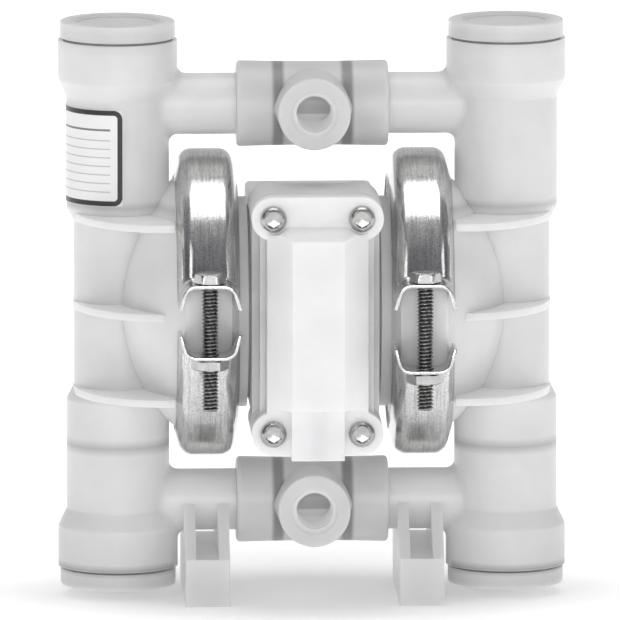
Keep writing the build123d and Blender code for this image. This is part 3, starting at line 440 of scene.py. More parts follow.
def spun(name: str, knots: Sequence[Knot], segments: int = 72, closed: bool = False) -> bpy.types.Mesh:
    """Mesh of a profile turned round the Z axis.

    Args:
        name: Name of the mesh.
        knots: Profile, from axis to axis, or round a ring where it is closed.
        segments: Steps round the axis.
        closed: Whether the last knot joins the first.

    Returns:
        A closed mesh in metres.
    """
    shape = bmesh.new()
    rows = []
    for knot in knots:
        if knot.radius <= 0:
            rows.append([shape.verts.new((0, 0, knot.height * MM))])
            continue
        row = []
        for number in range(segments):
            angle = 2 * math.pi * number / segments
            reach = knot.reach(angle) * MM
            corner = (reach * math.cos(angle), reach * math.sin(angle), knot.height * MM)
            row.append(shape.verts.new(corner))
        rows.append(row)
    for low, high in zip(rows, rows[1:] + rows[:1] if closed else rows[1:]):
        for number in range(segments):
            after = (number + 1) % segments
            corners = [low[number % len(low)], low[after % len(low)]]
            corners += [high[after % len(high)], high[number % len(high)]]
            face = list(dict.fromkeys(corners))
            if len(face) > 2:
                shape.faces.new(face)
    bmesh.ops.recalc_face_normals(shape, faces=shape.faces)
    mesh = bpy.data.meshes.new(name)
    shape.to_mesh(mesh)
    shape.free()
    return mesh


def turned_to(mesh: bpy.types.Mesh, place: Sequence[float], direction: Sequence[float]) -> bpy.types.Mesh:
    """Moves a mesh so that its Z axis points along a direction.

    Args:
        mesh: Mesh that stands on its origin.
        place: Where its origin goes, in millimetres.
        direction: Where its Z axis points.

    Returns:
        The same mesh.
    """
    turn = Vector(direction).to_track_quat("Z", "Y").to_matrix().to_4x4()
    mesh.transform(Matrix.Translation(Vector(place) * MM) @ turn)
    return mesh


def merged(name: str, meshes: Sequence[bpy.types.Mesh]) -> bpy.types.Mesh:
    """One mesh out of several.

    Args:
        name: Name of the new mesh.
        meshes: Meshes to join.

    Returns:
        The new mesh.
    """
    whole = bmesh.new()
    for mesh in meshes:
        whole.from_mesh(mesh)
    out = bpy.data.meshes.new(name)
    whole.to_mesh(out)
    whole.free()
    return out


def softened(node: str, name: str, width: float, angle: float = 35.0) -> bpy.types.Object:
    """Copy of a CAD node with its sharp edges rounded.

    Args:
        node: CAD node to copy.
        name: Name of the copy.
        width: Width of the rounding in millimetres.
        angle: Least angle of a rounded edge in degrees.

    Returns:
        The new piece, closed and smooth.
    """
    shape = bmesh.new()
    shape.from_mesh(frame["nodes"][node].data)
    bmesh.ops.remove_doubles(shape, verts=shape.verts, dist=0.002 * MM)
    bmesh.ops.dissolve_limit(shape, angle_limit=math.radians(0.4), verts=shape.verts, edges=shape.edges)
    mesh = bpy.data.meshes.new(name)
    shape.to_mesh(mesh)
    shape.free()
    obj = linked(name, mesh)
    bevel = obj.modifiers.new("edges", "BEVEL")
    bevel.width = width * MM
    bevel.segments = 3
    bevel.limit_method = "ANGLE"
    bevel.angle_limit = math.radians(angle)
    bevel.miter_outer = "MITER_ARC"
    return shaded(applied(obj))


class Side(Enum):
    """The two ends of the shaft."""

    LEFT = -1
    RIGHT = 1

    @property
    def word(self) -> str:
        """Name used in node names."""
        return self.name.lower()


class Level(Enum):
    """The two manifolds."""

    INLET = -1
    DISCHARGE = 1

    @property
    def word(self) -> str:
        """Name used in node names."""
        return self.name.lower()


@dataclass(frozen=True)
class Layout:
    """Main places of the pump, in millimetres, as the construction has them."""

    shaft_height: float = 85.5
    column_offset: float = 56.25
    clamp_offset: float = 31.0
    manifold_rise: float = 58.0
    cap_face_rise: float = 82.5
    tee_radius: float = 12.5
    housing_flange_front: float = -50.2
    screw_half_x: float = 12.75
    screw_half_z: float = 31.3


LAYOUT = Layout()


@dataclass(frozen=True)
class Spot:
    """Object coordinates of a point on the surface, in millimetres."""

    x: Wire
    y: Wire
    z: Wire


@dataclass(frozen=True)
class Finish:
    """A procedural material on object coordinates."""

    CLOUD_EDGES = (0.3, 0.7)
    # Colour of the painted shade in thread roots.
    GROOVE_COLOUR = (0.02, 0.02, 0.02, 1.0)

    name: str
    light: tuple[float, float, float]
    dark: tuple[float, float, float]
    roughness: float
    roughness_spread: float
    cloud_mm: float
    grain_mm: float
    grain_depth_mm: float
    groove_darkness: float = 0.2

    def constants(self) -> dict[str, object]:
        """Shader values that are the same all over."""
        return {}

    def light_within(self, graph: Graph, colour: Wire, spot: Spot) -> dict[str, Wire]:
        """Painted glow, emission that stands in for light through the wall, which a plain finish has none
        of.
        """
        return {}

    def tint(self, graph: Graph, colour: Wire, spot: Spot) -> Wire:
        """Colour with this finish's own marks, and for plastic its painted shade, which a plain finish has
        none of.
        """
        return colour

    def noise(self, graph: Graph, place: Wire, size_mm: float, detail: float) -> Wire:
        """Noise of a grain size in millimetres."""
        inputs = {"Vector": place, "Scale": 1 / size_mm, "Detail": detail, "Roughness": 0.55}
        return graph.add("ShaderNodeTexNoise", inputs=inputs)

    def material(self) -> bpy.types.Material:
        """Builds the material once.

        Returns:
            The material of this finish.
        """
        found = bpy.data.materials.get(self.name)
        if found:
            return found
        made = bpy.data.materials.new(self.name)
        made.use_nodes = True
        graph = Graph(made.node_tree)
        coordinates = graph.add("ShaderNodeTexCoord", output="Object")
        place = graph.add(
            "ShaderNodeVectorMath", {"operation": "SCALE"}, {0: coordinates, "Scale": 1 / MM}
        )
        split = graph.add("ShaderNodeSeparateXYZ", inputs={0: place})
        spot = Spot(*(Wire(graph, split.socket.node.outputs[axis]) for axis in "XYZ"))
        cloud = self.noise(graph, place, self.cloud_mm, 3.0)
        grain = self.noise(graph, place, self.grain_mm, 2.0)
        colour = graph.mix(cloud.step(*self.CLOUD_EDGES), (*self.dark, 1.0), (*self.light, 1.0))
        colour = self.tint(graph, colour, spot)
        # painted shade in the thread roots, from the groove profile that the thread tree stores
        groove = graph.add("ShaderNodeAttribute", {"attribute_name": "groove"}, output="Fac")
        colour = graph.mix(self.groove_darkness * groove, colour, self.GROOVE_COLOUR)
        # painted glow: emission colour that stands in for light coming through the wall
        within = self.light_within(graph, colour, spot)
        roughness = self.roughness + self.roughness_spread * (0.6 * cloud + 0.4 * grain - 0.5)
        bump = graph.add(
            "ShaderNodeBump",
            inputs={"Height": grain, "Distance": self.grain_depth_mm * MM, "Strength": 1.0},
        )
        shader = graph.add(
            "ShaderNodeBsdfPrincipled",
            inputs={
                "Base Color": colour,
                "Roughness": roughness,
                "Normal": bump,
                **within,
                **self.constants(),
            },
        )
        graph.add("ShaderNodeOutputMaterial", inputs={"Surface": shader})
        return made


@dataclass(frozen=True)
class Plastic(Finish):
    """Moulded plastic, milky in its depth, with a painted glow, soft darker rings where seals lie behind the
    wall, caps drawn darker, and painted shade at the lower cap joints, on the tees and towards the floor.
    """

    RING_COLOUR = (0.05, 0.05, 0.055, 1.0)

    depth: float = 0.0
    depth_mm: float = 3.0
    # Share of the wall's colour sent out as painted glow, standing in for light through the wall, and a
    # larger share in the port bores.
    glow: float = 0.0
    bore_glow: float = 0.0
    bore_edge_squared: tuple[float, float] = (33.0, 46.0)
    bore_back: float = 4.0
    # Height over the shaft axis, half width and darkness of each ring on a column: seals behind the wall,
    # darker caps, and painted shade at the lower cap joint.
    rings: tuple[tuple[float, float, float], ...] = ()
    column_reach: float = 16.0
    tee_ring_offset: float = 0.0
    tee_ring_half_width: float = 2.5
    tee_ring_slope: float = 1.7
    tee_ring_strength: float = 0.66
    tee_barrel_half_length: float = 20.0
    tee_skin: float = 0.15
    tee_half_length: float = 22.2
    tee_reach: float = 14.0
    # Painted shade: the tees drawn darker all over.
    tee_shade: float = 0.16
    # Painted shade: darker towards the floor, fading out between the low_reach heights.
    low_shade: float = 0.11
    low_reach: tuple[float, float] = (6.0, 24.0)

    def constants(self) -> dict[str, object]:
        """Light that goes into the wall, and full emission strength for the painted glow."""
        if not self.depth:
            return {"IOR": 1.49}
        return {
            # full strength for the painted glow
            "IOR": 1.49,
            "Emission Strength": 1.0,
            "Subsurface Weight": self.depth,
            "Subsurface Radius": (1.0, 0.98, 0.94),
            "Subsurface Scale": self.depth_mm * MM,
        }

    def light_within(self, graph: Graph, colour: Wire, spot: Spot) -> dict[str, Wire]:
        """Painted glow, emission that stands in for faint light through the wall, stronger in the bores of
        the ports.

        Args:
            graph: Tree of the material.
            colour: Colour of the wall.
            spot: Point on the surface.

        Returns:
            The shader's emission colour for the painted glow, or nothing where no light comes through.
        """
        if not self.depth:
            return {}
        rise = abs(spot.z - LAYOUT.shaft_height) - LAYOUT.manifold_rise
        from_axis = spot.x * spot.x + rise * rise
        # the port bores, where the painted glow is stronger
        bore = (1 - from_axis.step(*self.bore_edge_squared)) * (spot.y < self.bore_back)
        share = self.glow + (self.bore_glow - self.glow) * bore if self.bore_glow else self.glow
        return {"Emission Color": graph.mix(share, (0.0, 0.0, 0.0, 1.0), colour)}

    def tint(self, graph: Graph, colour: Wire, spot: Spot) -> Wire:
        """Darker rings where seals lie behind the wall on the columns and the tees, with painted shade at
        the lower cap joints, beside the tee seals, on the whole tees and towards the floor.

        Args:
            graph: Tree of the material.
            colour: Colour of the plastic.
            spot: Point on the surface.

        Returns:
            The colour with the rings and the painted shade.
        """
        if not self.rings:
            return colour
        x, y, z = spot.x, spot.y, spot.z
        on_column = abs(x) > LAYOUT.column_offset - self.column_reach
        rise = z - LAYOUT.shaft_height
        mask = 0.0
        for middle, half_width, strength in self.rings:
            mask = mask + strength * rise.bump_at(middle, half_width)
        mask = mask * on_column
        on_barrel = (y > self.tee_skin - LAYOUT.tee_radius) * (abs(x) < self.tee_barrel_half_length)
        ring = self.tee_ring_slope * abs(x).bump_at(self.tee_ring_offset, self.tee_ring_half_width)
        # tee seal bands, widened with painted shade beside them
        mask = mask.most(self.tee_ring_strength * ring.least(1.0) * on_barrel)
        on_tee = (abs(x) < self.tee_half_length) * (abs(rise) > LAYOUT.manifold_rise - self.tee_reach)
        # painted shade on the tees
        mask = mask.most(self.tee_shade * on_tee)
        # painted shade towards the floor
        mask = mask.most(self.low_shade * (1 - z.step(*self.low_reach)))
        return graph.mix(mask, colour, self.RING_COLOUR)


@dataclass(frozen=True)
class Steel(Finish):
    """Bare metal, polished or plain."""

    STREAK_EDGES = (0.42, 0.68)
    SPECKLE_EDGES = (0.46, 0.62)
    MARK_COLOUR = (0.16, 0.158, 0.155, 1.0)

    # strong painted shade in the roots of metal threads
    groove_darkness: float = 0.85
    streak_darkness: float = 0.0
    streak_scales: tuple[float, float] = (1.4, 0.09)
    speckle_darkness: float = 0.0
    speckle_mm: float = 0.34

    def constants(self) -> dict[str, object]:
        """Metal all over."""
        return {"Metallic": 1.0}

    def tint(self, graph: Graph, colour: Wire, spot: Spot) -> Wire:
        """Drawing streaks round the shaft axis and fine speckle.

        Args:
            graph: Tree of the material.
            colour: Colour of the metal.
            spot: Point on the surface.

        Returns:
            The colour with the marks.
        """
        if not self.streak_darkness:
            return colour
        across, along = self.streak_scales
        stretch = {"X": across * spot.x, "Y": along * spot.y, "Z": along * spot.z}
        stretched = graph.add("ShaderNodeCombineXYZ", inputs=stretch)
        plain = graph.add("ShaderNodeCombineXYZ", inputs={"X": spot.x, "Y": spot.y, "Z": spot.z})
        streaks = self.noise(graph, stretched, 1.0, 4.0).step(*self.STREAK_EDGES)
        speckle = self.noise(graph, plain, self.speckle_mm, 2.0).step(*self.SPECKLE_EDGES)
        mask = (self.streak_darkness * streaks + self.speckle_darkness * speckle).least(1.0)
        return graph.mix(mask, colour, self.MARK_COLOUR)


@dataclass(frozen=True)
class LabelFilm(Finish):
    """White film with a printed border and plain rules, placed by the piece's own UV map in millimetres."""

    INK = (0.015, 0.015, 0.016, 1.0)
    BARE_FILM = (0.82, 0.825, 0.83, 1.0)

    half_width: float = 17.6
    half_height: float = 14.0
    corner: float = 2.6
    line: float = 1.5
    margin: float = 3.6
    rules_low: float = -11.0
    rules_high: float = 5.6
    rule_pitch: float = 2.5
    rule_width: float = 0.3
    heading_height: float = 8.2

    def tint(self, graph: Graph, colour: Wire, spot: Spot) -> Wire:
        """Border with round corners and a few plain rules.

        Args:
            graph: Tree of the material.
            colour: Colour of the film.
            spot: Point on the surface; not used, as the print follows the UV map instead.

        Returns:
            The colour with the print.
        """
        own = graph.add("ShaderNodeUVMap", {"uv_map": "film"})
        split = graph.add("ShaderNodeSeparateXYZ", inputs={0: own})
        u, v = (Wire(graph, split.socket.node.outputs[axis]) for axis in "XY")
        out_u = (abs(u) - (self.half_width - self.corner)).most(0.0)
        out_v = (abs(v) - (self.half_height - self.corner)).most(0.0)
        reach = (out_u * out_u + out_v * out_v).root()
        border = reach > self.corner - self.line
        outside = reach > self.corner - 0.05
        between = abs(u) < self.half_width - self.margin
        rules = (v % self.rule_pitch < self.rule_width) * (v < self.rules_high) * (v > self.rules_low)
        heading = abs(v - self.heading_height) < self.rule_width
        print_mask = border.most(0.45 * rules * between).most(0.8 * heading * between)
        colour = graph.mix(print_mask, colour, self.INK)
        return graph.mix(outside, colour, self.BARE_FILM)


class Palette:
    """Every finish of the pump."""

    natural = Plastic(
        name="natural_polypropylene",
        light=(0.688, 0.688, 0.685),
        dark=(0.631, 0.631, 0.628),
        roughness=0.36,
        roughness_spread=0.16,
        cloud_mm=18.0,
        grain_mm=0.9,
        grain_depth_mm=0.012,
        depth=0.75,
        depth_mm=7.0,
        glow=0.14,
        bore_glow=0.40,
        # Rings: top caps drawn darker, the two seat seals behind the wall, painted shade in the lower cap
        # joint over its seal, lower caps drawn darker.
        rings=(
            (80.0, 6.5, 0.11),
            (29.4, 1.7, 0.24),
            (-41.0, 2.4, 0.36),
            (-76.6, 2.2, 0.5),
            (-81.0, 5.0, 0.22),
        ),
        tee_ring_offset=10.0,
    )
    valve = Plastic(
        name="valve_polypropylene",
        light=(0.84, 0.84, 0.84),
        dark=(0.80, 0.80, 0.80),
        roughness=0.40,
        roughness_spread=0.12,
        cloud_mm=14.0,
        grain_mm=0.7,
        grain_depth_mm=0.010,
        depth=0.55,
        depth_mm=4.0,
        glow=0.05,
    )
    # Drawn darker than the valve plastic: painted shade for the centre block, which sits back in shade
    # behind the valve.
    block = Plastic(
        name="block_polypropylene",
        light=(0.65, 0.65, 0.648),
        dark=(0.58, 0.58, 0.578),
        roughness=0.42,
        roughness_spread=0.14,
        cloud_mm=12.0,
        grain_mm=0.8,
        grain_depth_mm=0.014,
        depth=0.5,
        depth_mm=4.0,
        glow=0.09,
    )
    clamp = Steel(
        name="polished_stainless",
        light=(0.84, 0.837, 0.832),
        dark=(0.68, 0.677, 0.672),
        roughness=0.17,
        roughness_spread=0.22,
        cloud_mm=7.0,
        grain_mm=0.42,
        grain_depth_mm=0.016,
        streak_darkness=0.3,
        speckle_darkness=0.4,
    )
    fastener = Steel(
        name="plain_stainless",
        light=(0.52, 0.515, 0.505),
        dark=(0.38, 0.375, 0.37),
        roughness=0.27,
        roughness_spread=0.2,
        cloud_mm=3.0,
        grain_mm=0.3,
        grain_depth_mm=0.008,
    )
    shaft = Steel(
        name="ground_stainless",
        light=(0.75, 0.75, 0.74),
        dark=(0.68, 0.68, 0.67),
        roughness=0.2,
        roughness_spread=0.1,
        cloud_mm=6.0,
        grain_mm=0.2,
        grain_depth_mm=0.003,
    )
    piston = Plastic(
        name="piston_polypropylene",
        light=(0.80, 0.80, 0.79),
        dark=(0.72, 0.72, 0.71),
        roughness=0.45,
        roughness_spread=0.12,
        cloud_mm=9.0,
        grain_mm=0.7,
        grain_depth_mm=0.012,
    )
    rubber = Finish(
        name="seal_rubber_grey",
        light=(0.36, 0.36, 0.363),
        dark=(0.29, 0.29, 0.292),
        roughness=0.62,
        roughness_spread=0.2,
        cloud_mm=4.0,
        grain_mm=0.25,
        grain_depth_mm=0.02,
    )
    diaphragm = Finish(
        name="diaphragm_rubber_black",
        light=(0.06, 0.06, 0.062),
        dark=(0.04, 0.04, 0.042),
        roughness=0.58,
        roughness_spread=0.2,
        cloud_mm=7.0,
        grain_mm=0.5,
        grain_depth_mm=0.03,
    )
    gasket = Finish(
        name="gasket_rubber_pale",
        light=(0.50, 0.505, 0.51),
        dark=(0.42, 0.425, 0.43),
        roughness=0.66,
        roughness_spread=0.16,
        cloud_mm=3.0,
        grain_mm=0.3,
        grain_depth_mm=0.02,
    )
    ball = Plastic(
        name="ball_plastic_white",
        light=(0.88, 0.88, 0.87),
        dark=(0.83, 0.83, 0.82),
        roughness=0.33,
        roughness_spread=0.1,
        cloud_mm=4.0,
        grain_mm=0.4,
        grain_depth_mm=0.008,
    )
    spool = Plastic(
        name="spool_plastic_dark",
        light=(0.12, 0.12, 0.125),
        dark=(0.08, 0.08, 0.085),
        roughness=0.38,
        roughness_spread=0.12,
        cloud_mm=4.0,
        grain_mm=0.4,
        grain_depth_mm=0.01,
    )
    silencer = Plastic(
        name="silencer_plastic_grey",
        light=(0.30, 0.305, 0.31),
        dark=(0.22, 0.225, 0.23),
        roughness=0.55,
        roughness_spread=0.16,
        cloud_mm=3.0,
        grain_mm=0.45,
        grain_depth_mm=0.05,
    )
    label = LabelFilm(
        name="label_film_white",
        light=(0.90, 0.90, 0.90),
        dark=(0.86, 0.86, 0.865),
        roughness=0.30,
        roughness_spread=0.08,
        cloud_mm=10.0,
        grain_mm=0.8,
        grain_depth_mm=0.006,
    )


SLOT_FINISHES = {
    "natural_plastic": Palette.natural,
    "valve_plastic": Palette.valve,
    "block_plastic": Palette.block,
    "clamp_steel": Palette.clamp,
    "fastener_steel": Palette.fastener,
    "shaft_steel": Palette.shaft,
    "piston_plastic": Palette.piston,
    "seal_rubber": Palette.rubber,
    "diaphragm_rubber": Palette.diaphragm,
    "gasket_rubber": Palette.gasket,
    "ball_plastic": Palette.ball,
    "spool_plastic": Palette.spool,
    "silencer_plastic": Palette.silencer,
    "label_film": Palette.label,
}


def seated(obj: bpy.types.Object, slot: str, *nodes: str, body: str = PUMP_BODY) -> bpy.types.Object:
    """Puts a finished piece on its body, in place of CAD nodes.

    Args:
        obj: Finished piece.
        slot: Material slot of the record; not used.
        nodes: CAD nodes that it stands for.
        body: Body that it rides on.

    Returns:
        The piece.
    """
    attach(obj, body)
    if nodes:
        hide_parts(*nodes)
    LOG.info("%s: %d faces", obj.name, len(obj.data.polygons))
    return obj


class RowTree(GeometryTree):
    """Repeats a mesh in rows: a first step and count, then a second."""

    def __init__(self) -> None:
        """Builds the tree."""
        super().__init__("rows")
        geometry = self.base
        start = self.input("Start", "NodeSocketVector")
        for order, begin in (("First", start), ("Second", (0.0, 0.0, 0.0))):
            step = self.input(f"{order} Step", "NodeSocketVector")
            count = self.input(f"{order} Count", "NodeSocketInt")
            line = self.add(
                "GeometryNodeMeshLine",
                {"mode": "OFFSET"},
                {"Count": count, "Start Location": begin, "Offset": step},
            )
            geometry = self.add(
                "GeometryNodeInstanceOnPoints", inputs={"Points": line, "Instance": geometry}
            )
        self.close(geometry)

    @staticmethod
    def places(
        start: tuple[float, float, float],
        first: tuple[float, float, float],
        second: tuple[float, float, float] | None = None,
    ) -> dict[str, object]:
        """Inputs for two copies, or for four in a rectangle, in millimetres.

        Args:
            start: Place of the first copy.
            first: Step from it to the second copy.
            second: Step from these two to the other two, where there are four.

        Returns:
            Value of each named input.
        """
        return {
            "Start": in_metres(start),
            "First Step": in_metres(first),
            "First Count": 2,
            "Second Step": in_metres(second or (0.0, 0.0, 0.0)),
            "Second Count": 2 if second else 1,
        }


class RingTree(GeometryTree):
    """Repeats a mesh round the Z axis, then turns and places the ring."""

    def __init__(self) -> None:
        """Builds the tree."""
        super().__init__("ring")
        count = self.input("Count", "NodeSocketInt")
        turn = self.input("Turn", "NodeSocketRotation")
        place = self.input("Place", "NodeSocketVector")
        line = self.add("GeometryNodeMeshLine", {"mode": "OFFSET"}, {"Count": count, "Offset": (0, 0, 0)})
        index = self.add("GeometryNodeInputIndex")
        angle = self.vector(0.0, 0.0, index * (2 * math.pi) / count)
        ring = self.add(
            "GeometryNodeInstanceOnPoints",
            inputs={"Points": line, "Instance": self.base, "Rotation": angle},
        )
        put = self.add(
            "GeometryNodeTransform", inputs={"Geometry": ring, "Translation": place, "Rotation": turn}
        )
        self.close(put)


@dataclass(frozen=True)
class ThreadFit:
    """Sizes of a thread inside a bore, in millimetres."""

    crest_inset: float
    depth: float
    pitch: float
    length: float
    mouth_inset: float
    wall_overlap: float = 0.1


class ThreadTree(GeometryTree):
    """A screw thread on a rod, or inside a sleeve, added to a base mesh and repeated in a row."""

    AROUND = 36
    ROWS_A_TURN = 8

    def __init__(self, turns: int, sleeve: bool) -> None:
        """Builds the tree.

        Args:
            turns: Most turns of the thread, which sets how fine the mesh is.
            sleeve: Whether the thread is inside a sleeve.
        """
        super().__init__("sleeve_thread" if sleeve else "rod_thread")
        crest = self.input("Crest Radius")
        depth = self.input("Depth")
        pitch = self.input("Pitch")
        length = self.input("Length")
        wall = self.input("Wall Radius")
        turn = self.input("Turn", "NodeSocketRotation")
        start = self.input("Start", "NodeSocketVector")
        step = self.input("Step", "NodeSocketVector")
        count = self.input("Count", "NodeSocketInt")
        rows = turns * self.ROWS_A_TURN + 5
        grid = self.add(
            "GeometryNodeMeshGrid",
            inputs={"Size X": 1.0, "Size Y": 1.0, "Vertices X": self.AROUND + 1, "Vertices Y": rows},
        )
        place = self.add("GeometryNodeInputPosition")
        split = self.add("ShaderNodeSeparateXYZ", inputs={0: place})
        around = Wire(self, split.socket.node.outputs["X"]) + 0.5
        row = (Wire(self, split.socket.node.outputs["Y"]) + 0.5) * (rows - 1)
        along = ((row - 1) / (rows - 3)).within(0.0, 1.0) * length
        wave = abs((along / pitch - around) % 1.0 - 0.5) * 2
        groove = wave.step(0.12, 0.88)
        cut = depth * groove
        # the groove profile is also stored for the finishes, which paint shade into the thread roots with it
        grid = self.add(
            "GeometryNodeStoreNamedAttribute",
            {"data_type": "FLOAT", "domain": "POINT"},
            {"Geometry": grid, "Name": "groove", "Value": groove},
        )
        taper = (length - along).least(along).least(depth)
        if sleeve:
            radius = crest + cut + (depth - taper) * 0.5
            at_end = (row < 0.5).most(row > rows - 1.5)
            radius = radius + (wall - radius) * at_end
        else:
            radius = (crest - cut).least(crest - depth + taper)
            radius = radius * (row > 0.5) * (row < rows - 1.5)
        angle = around * (2 * math.pi)
        moved = self.add(
            "GeometryNodeSetPosition",
            inputs={
                "Geometry": grid,
                "Position": self.vector(radius * angle.cosine(), radius * angle.sine(), along),
            },
        )
        welded = self.add("GeometryNodeMergeByDistance", inputs={"Geometry": moved, "Distance": 1e-6})
        joined = self.add("GeometryNodeJoinGeometry", inputs={0: welded})
        self.tree.links.new(self.base.socket, joined.socket.node.inputs[0])
        turned = self.add("GeometryNodeTransform", inputs={"Geometry": joined, "Rotation": turn})
        line = self.add(
            "GeometryNodeMeshLine",
            {"mode": "OFFSET"},
            {"Count": count, "Start Location": start, "Offset": step},
        )
        self.close(
            self.add("GeometryNodeInstanceOnPoints", inputs={"Points": line, "Instance": turned})
        )

    @staticmethod
    def inside(
        bore: float, fit: ThreadFit, turn: float, start: tuple[float, float, float]
    ) -> dict[str, object]:
        """Inputs for one thread inside a bore, in millimetres.

        Args:
            bore: Radius of the bore.
            fit: Sizes of the thread.
            turn: Turn round the X axis in radians.
            start: Place of the mouth.

        Returns:
            Value of each named input.
        """
        return {
            "Crest Radius": (bore - fit.crest_inset) * MM,
            "Depth": fit.depth * MM,
            "Pitch": fit.pitch * MM,
            "Length": fit.length * MM,
            "Wall Radius": (bore + fit.wall_overlap) * MM,
            "Turn": (turn, 0.0, 0.0),
            "Start": in_metres(start),
            "Step": (0.0, 0.0, 0.0),
            "Count": 1,
        }


class ChannelTree(GeometryTree):
    """The outer skin of a clamp half: a channel that follows a band, a bend and an ear each way."""

    PATH_POINTS = 221
    ARC_SHARE = 0.68
    BEND_SHARE = 0.16

    def __init__(self) -> None:
        """Builds the tree."""
        super().__init__("channel")
        radius = self.input("Band Radius")
        bend = self.input("Bend Radius")
        sweep = self.input("Half Sweep")
        ear = self.input("Ear Length")
        top = self.input("Top Half Width")
        mouth = self.input("Mouth Half Width")
        depth = self.input("Depth")
        corner = self.input("Corner Radius")
        place = self.input("Place", "NodeSocketVector")
        turn = self.input("Turn", "NodeSocketRotation")

        line = self.add("GeometryNodeMeshLine", {"mode": "OFFSET"}, {"Count": self.PATH_POINTS})
        index = self.add("GeometryNodeInputIndex")
        signed = index * (2 / (self.PATH_POINTS - 1)) - 1
        way = abs(signed)
        hand = signed.reckon("SIGN", signed)
        arc = way.step(0.0, self.ARC_SHARE) * sweep
        turned = way.step(self.ARC_SHARE, self.ARC_SHARE + self.BEND_SHARE) * sweep
        out = way.step(self.ARC_SHARE + self.BEND_SHARE, 1.0) * ear
        y = radius * arc.sine() + bend * (sweep.sine() - (sweep - turned).sine()) + out
        z = radius * arc.cosine() + bend * (sweep.cosine() - (sweep - turned).cosine())
        bent = self.add(
            "GeometryNodeSetPosition", inputs={"Geometry": line, "Position": self.vector(0.0, hand * y, z)}
        )
        path = self.add("GeometryNodeMeshToCurve", inputs={"Mesh": bent})
        path = self.add("GeometryNodeSetCurveNormal", {"mode": "Z_UP"}, {"Curve": path})

        section_line = self.add("GeometryNodeMeshLine", {"mode": "OFFSET"}, {"Count": 4})
        offset = index - 1.5
        outer = abs(offset) - 0.5
        across = offset.reckon("SIGN", offset) * (top + (mouth - top) * outer)
        shaped = self.add(
            "GeometryNodeSetPosition",
            inputs={"Geometry": section_line, "Position": self.vector(across, depth * outer, 0.0)},
        )
        section = self.add("GeometryNodeMeshToCurve", inputs={"Mesh": shaped})
        section = self.add(
            "GeometryNodeFilletCurve",
            {"mode": "POLY"},
            {"Curve": section, "Radius": corner, "Count": 8},
        )
        skin = self.add("GeometryNodeCurveToMesh", inputs={"Curve": path, "Profile Curve": section})
        put = self.add(
            "GeometryNodeTransform", inputs={"Geometry": skin, "Translation": place, "Rotation": turn}
        )
        self.close(put)


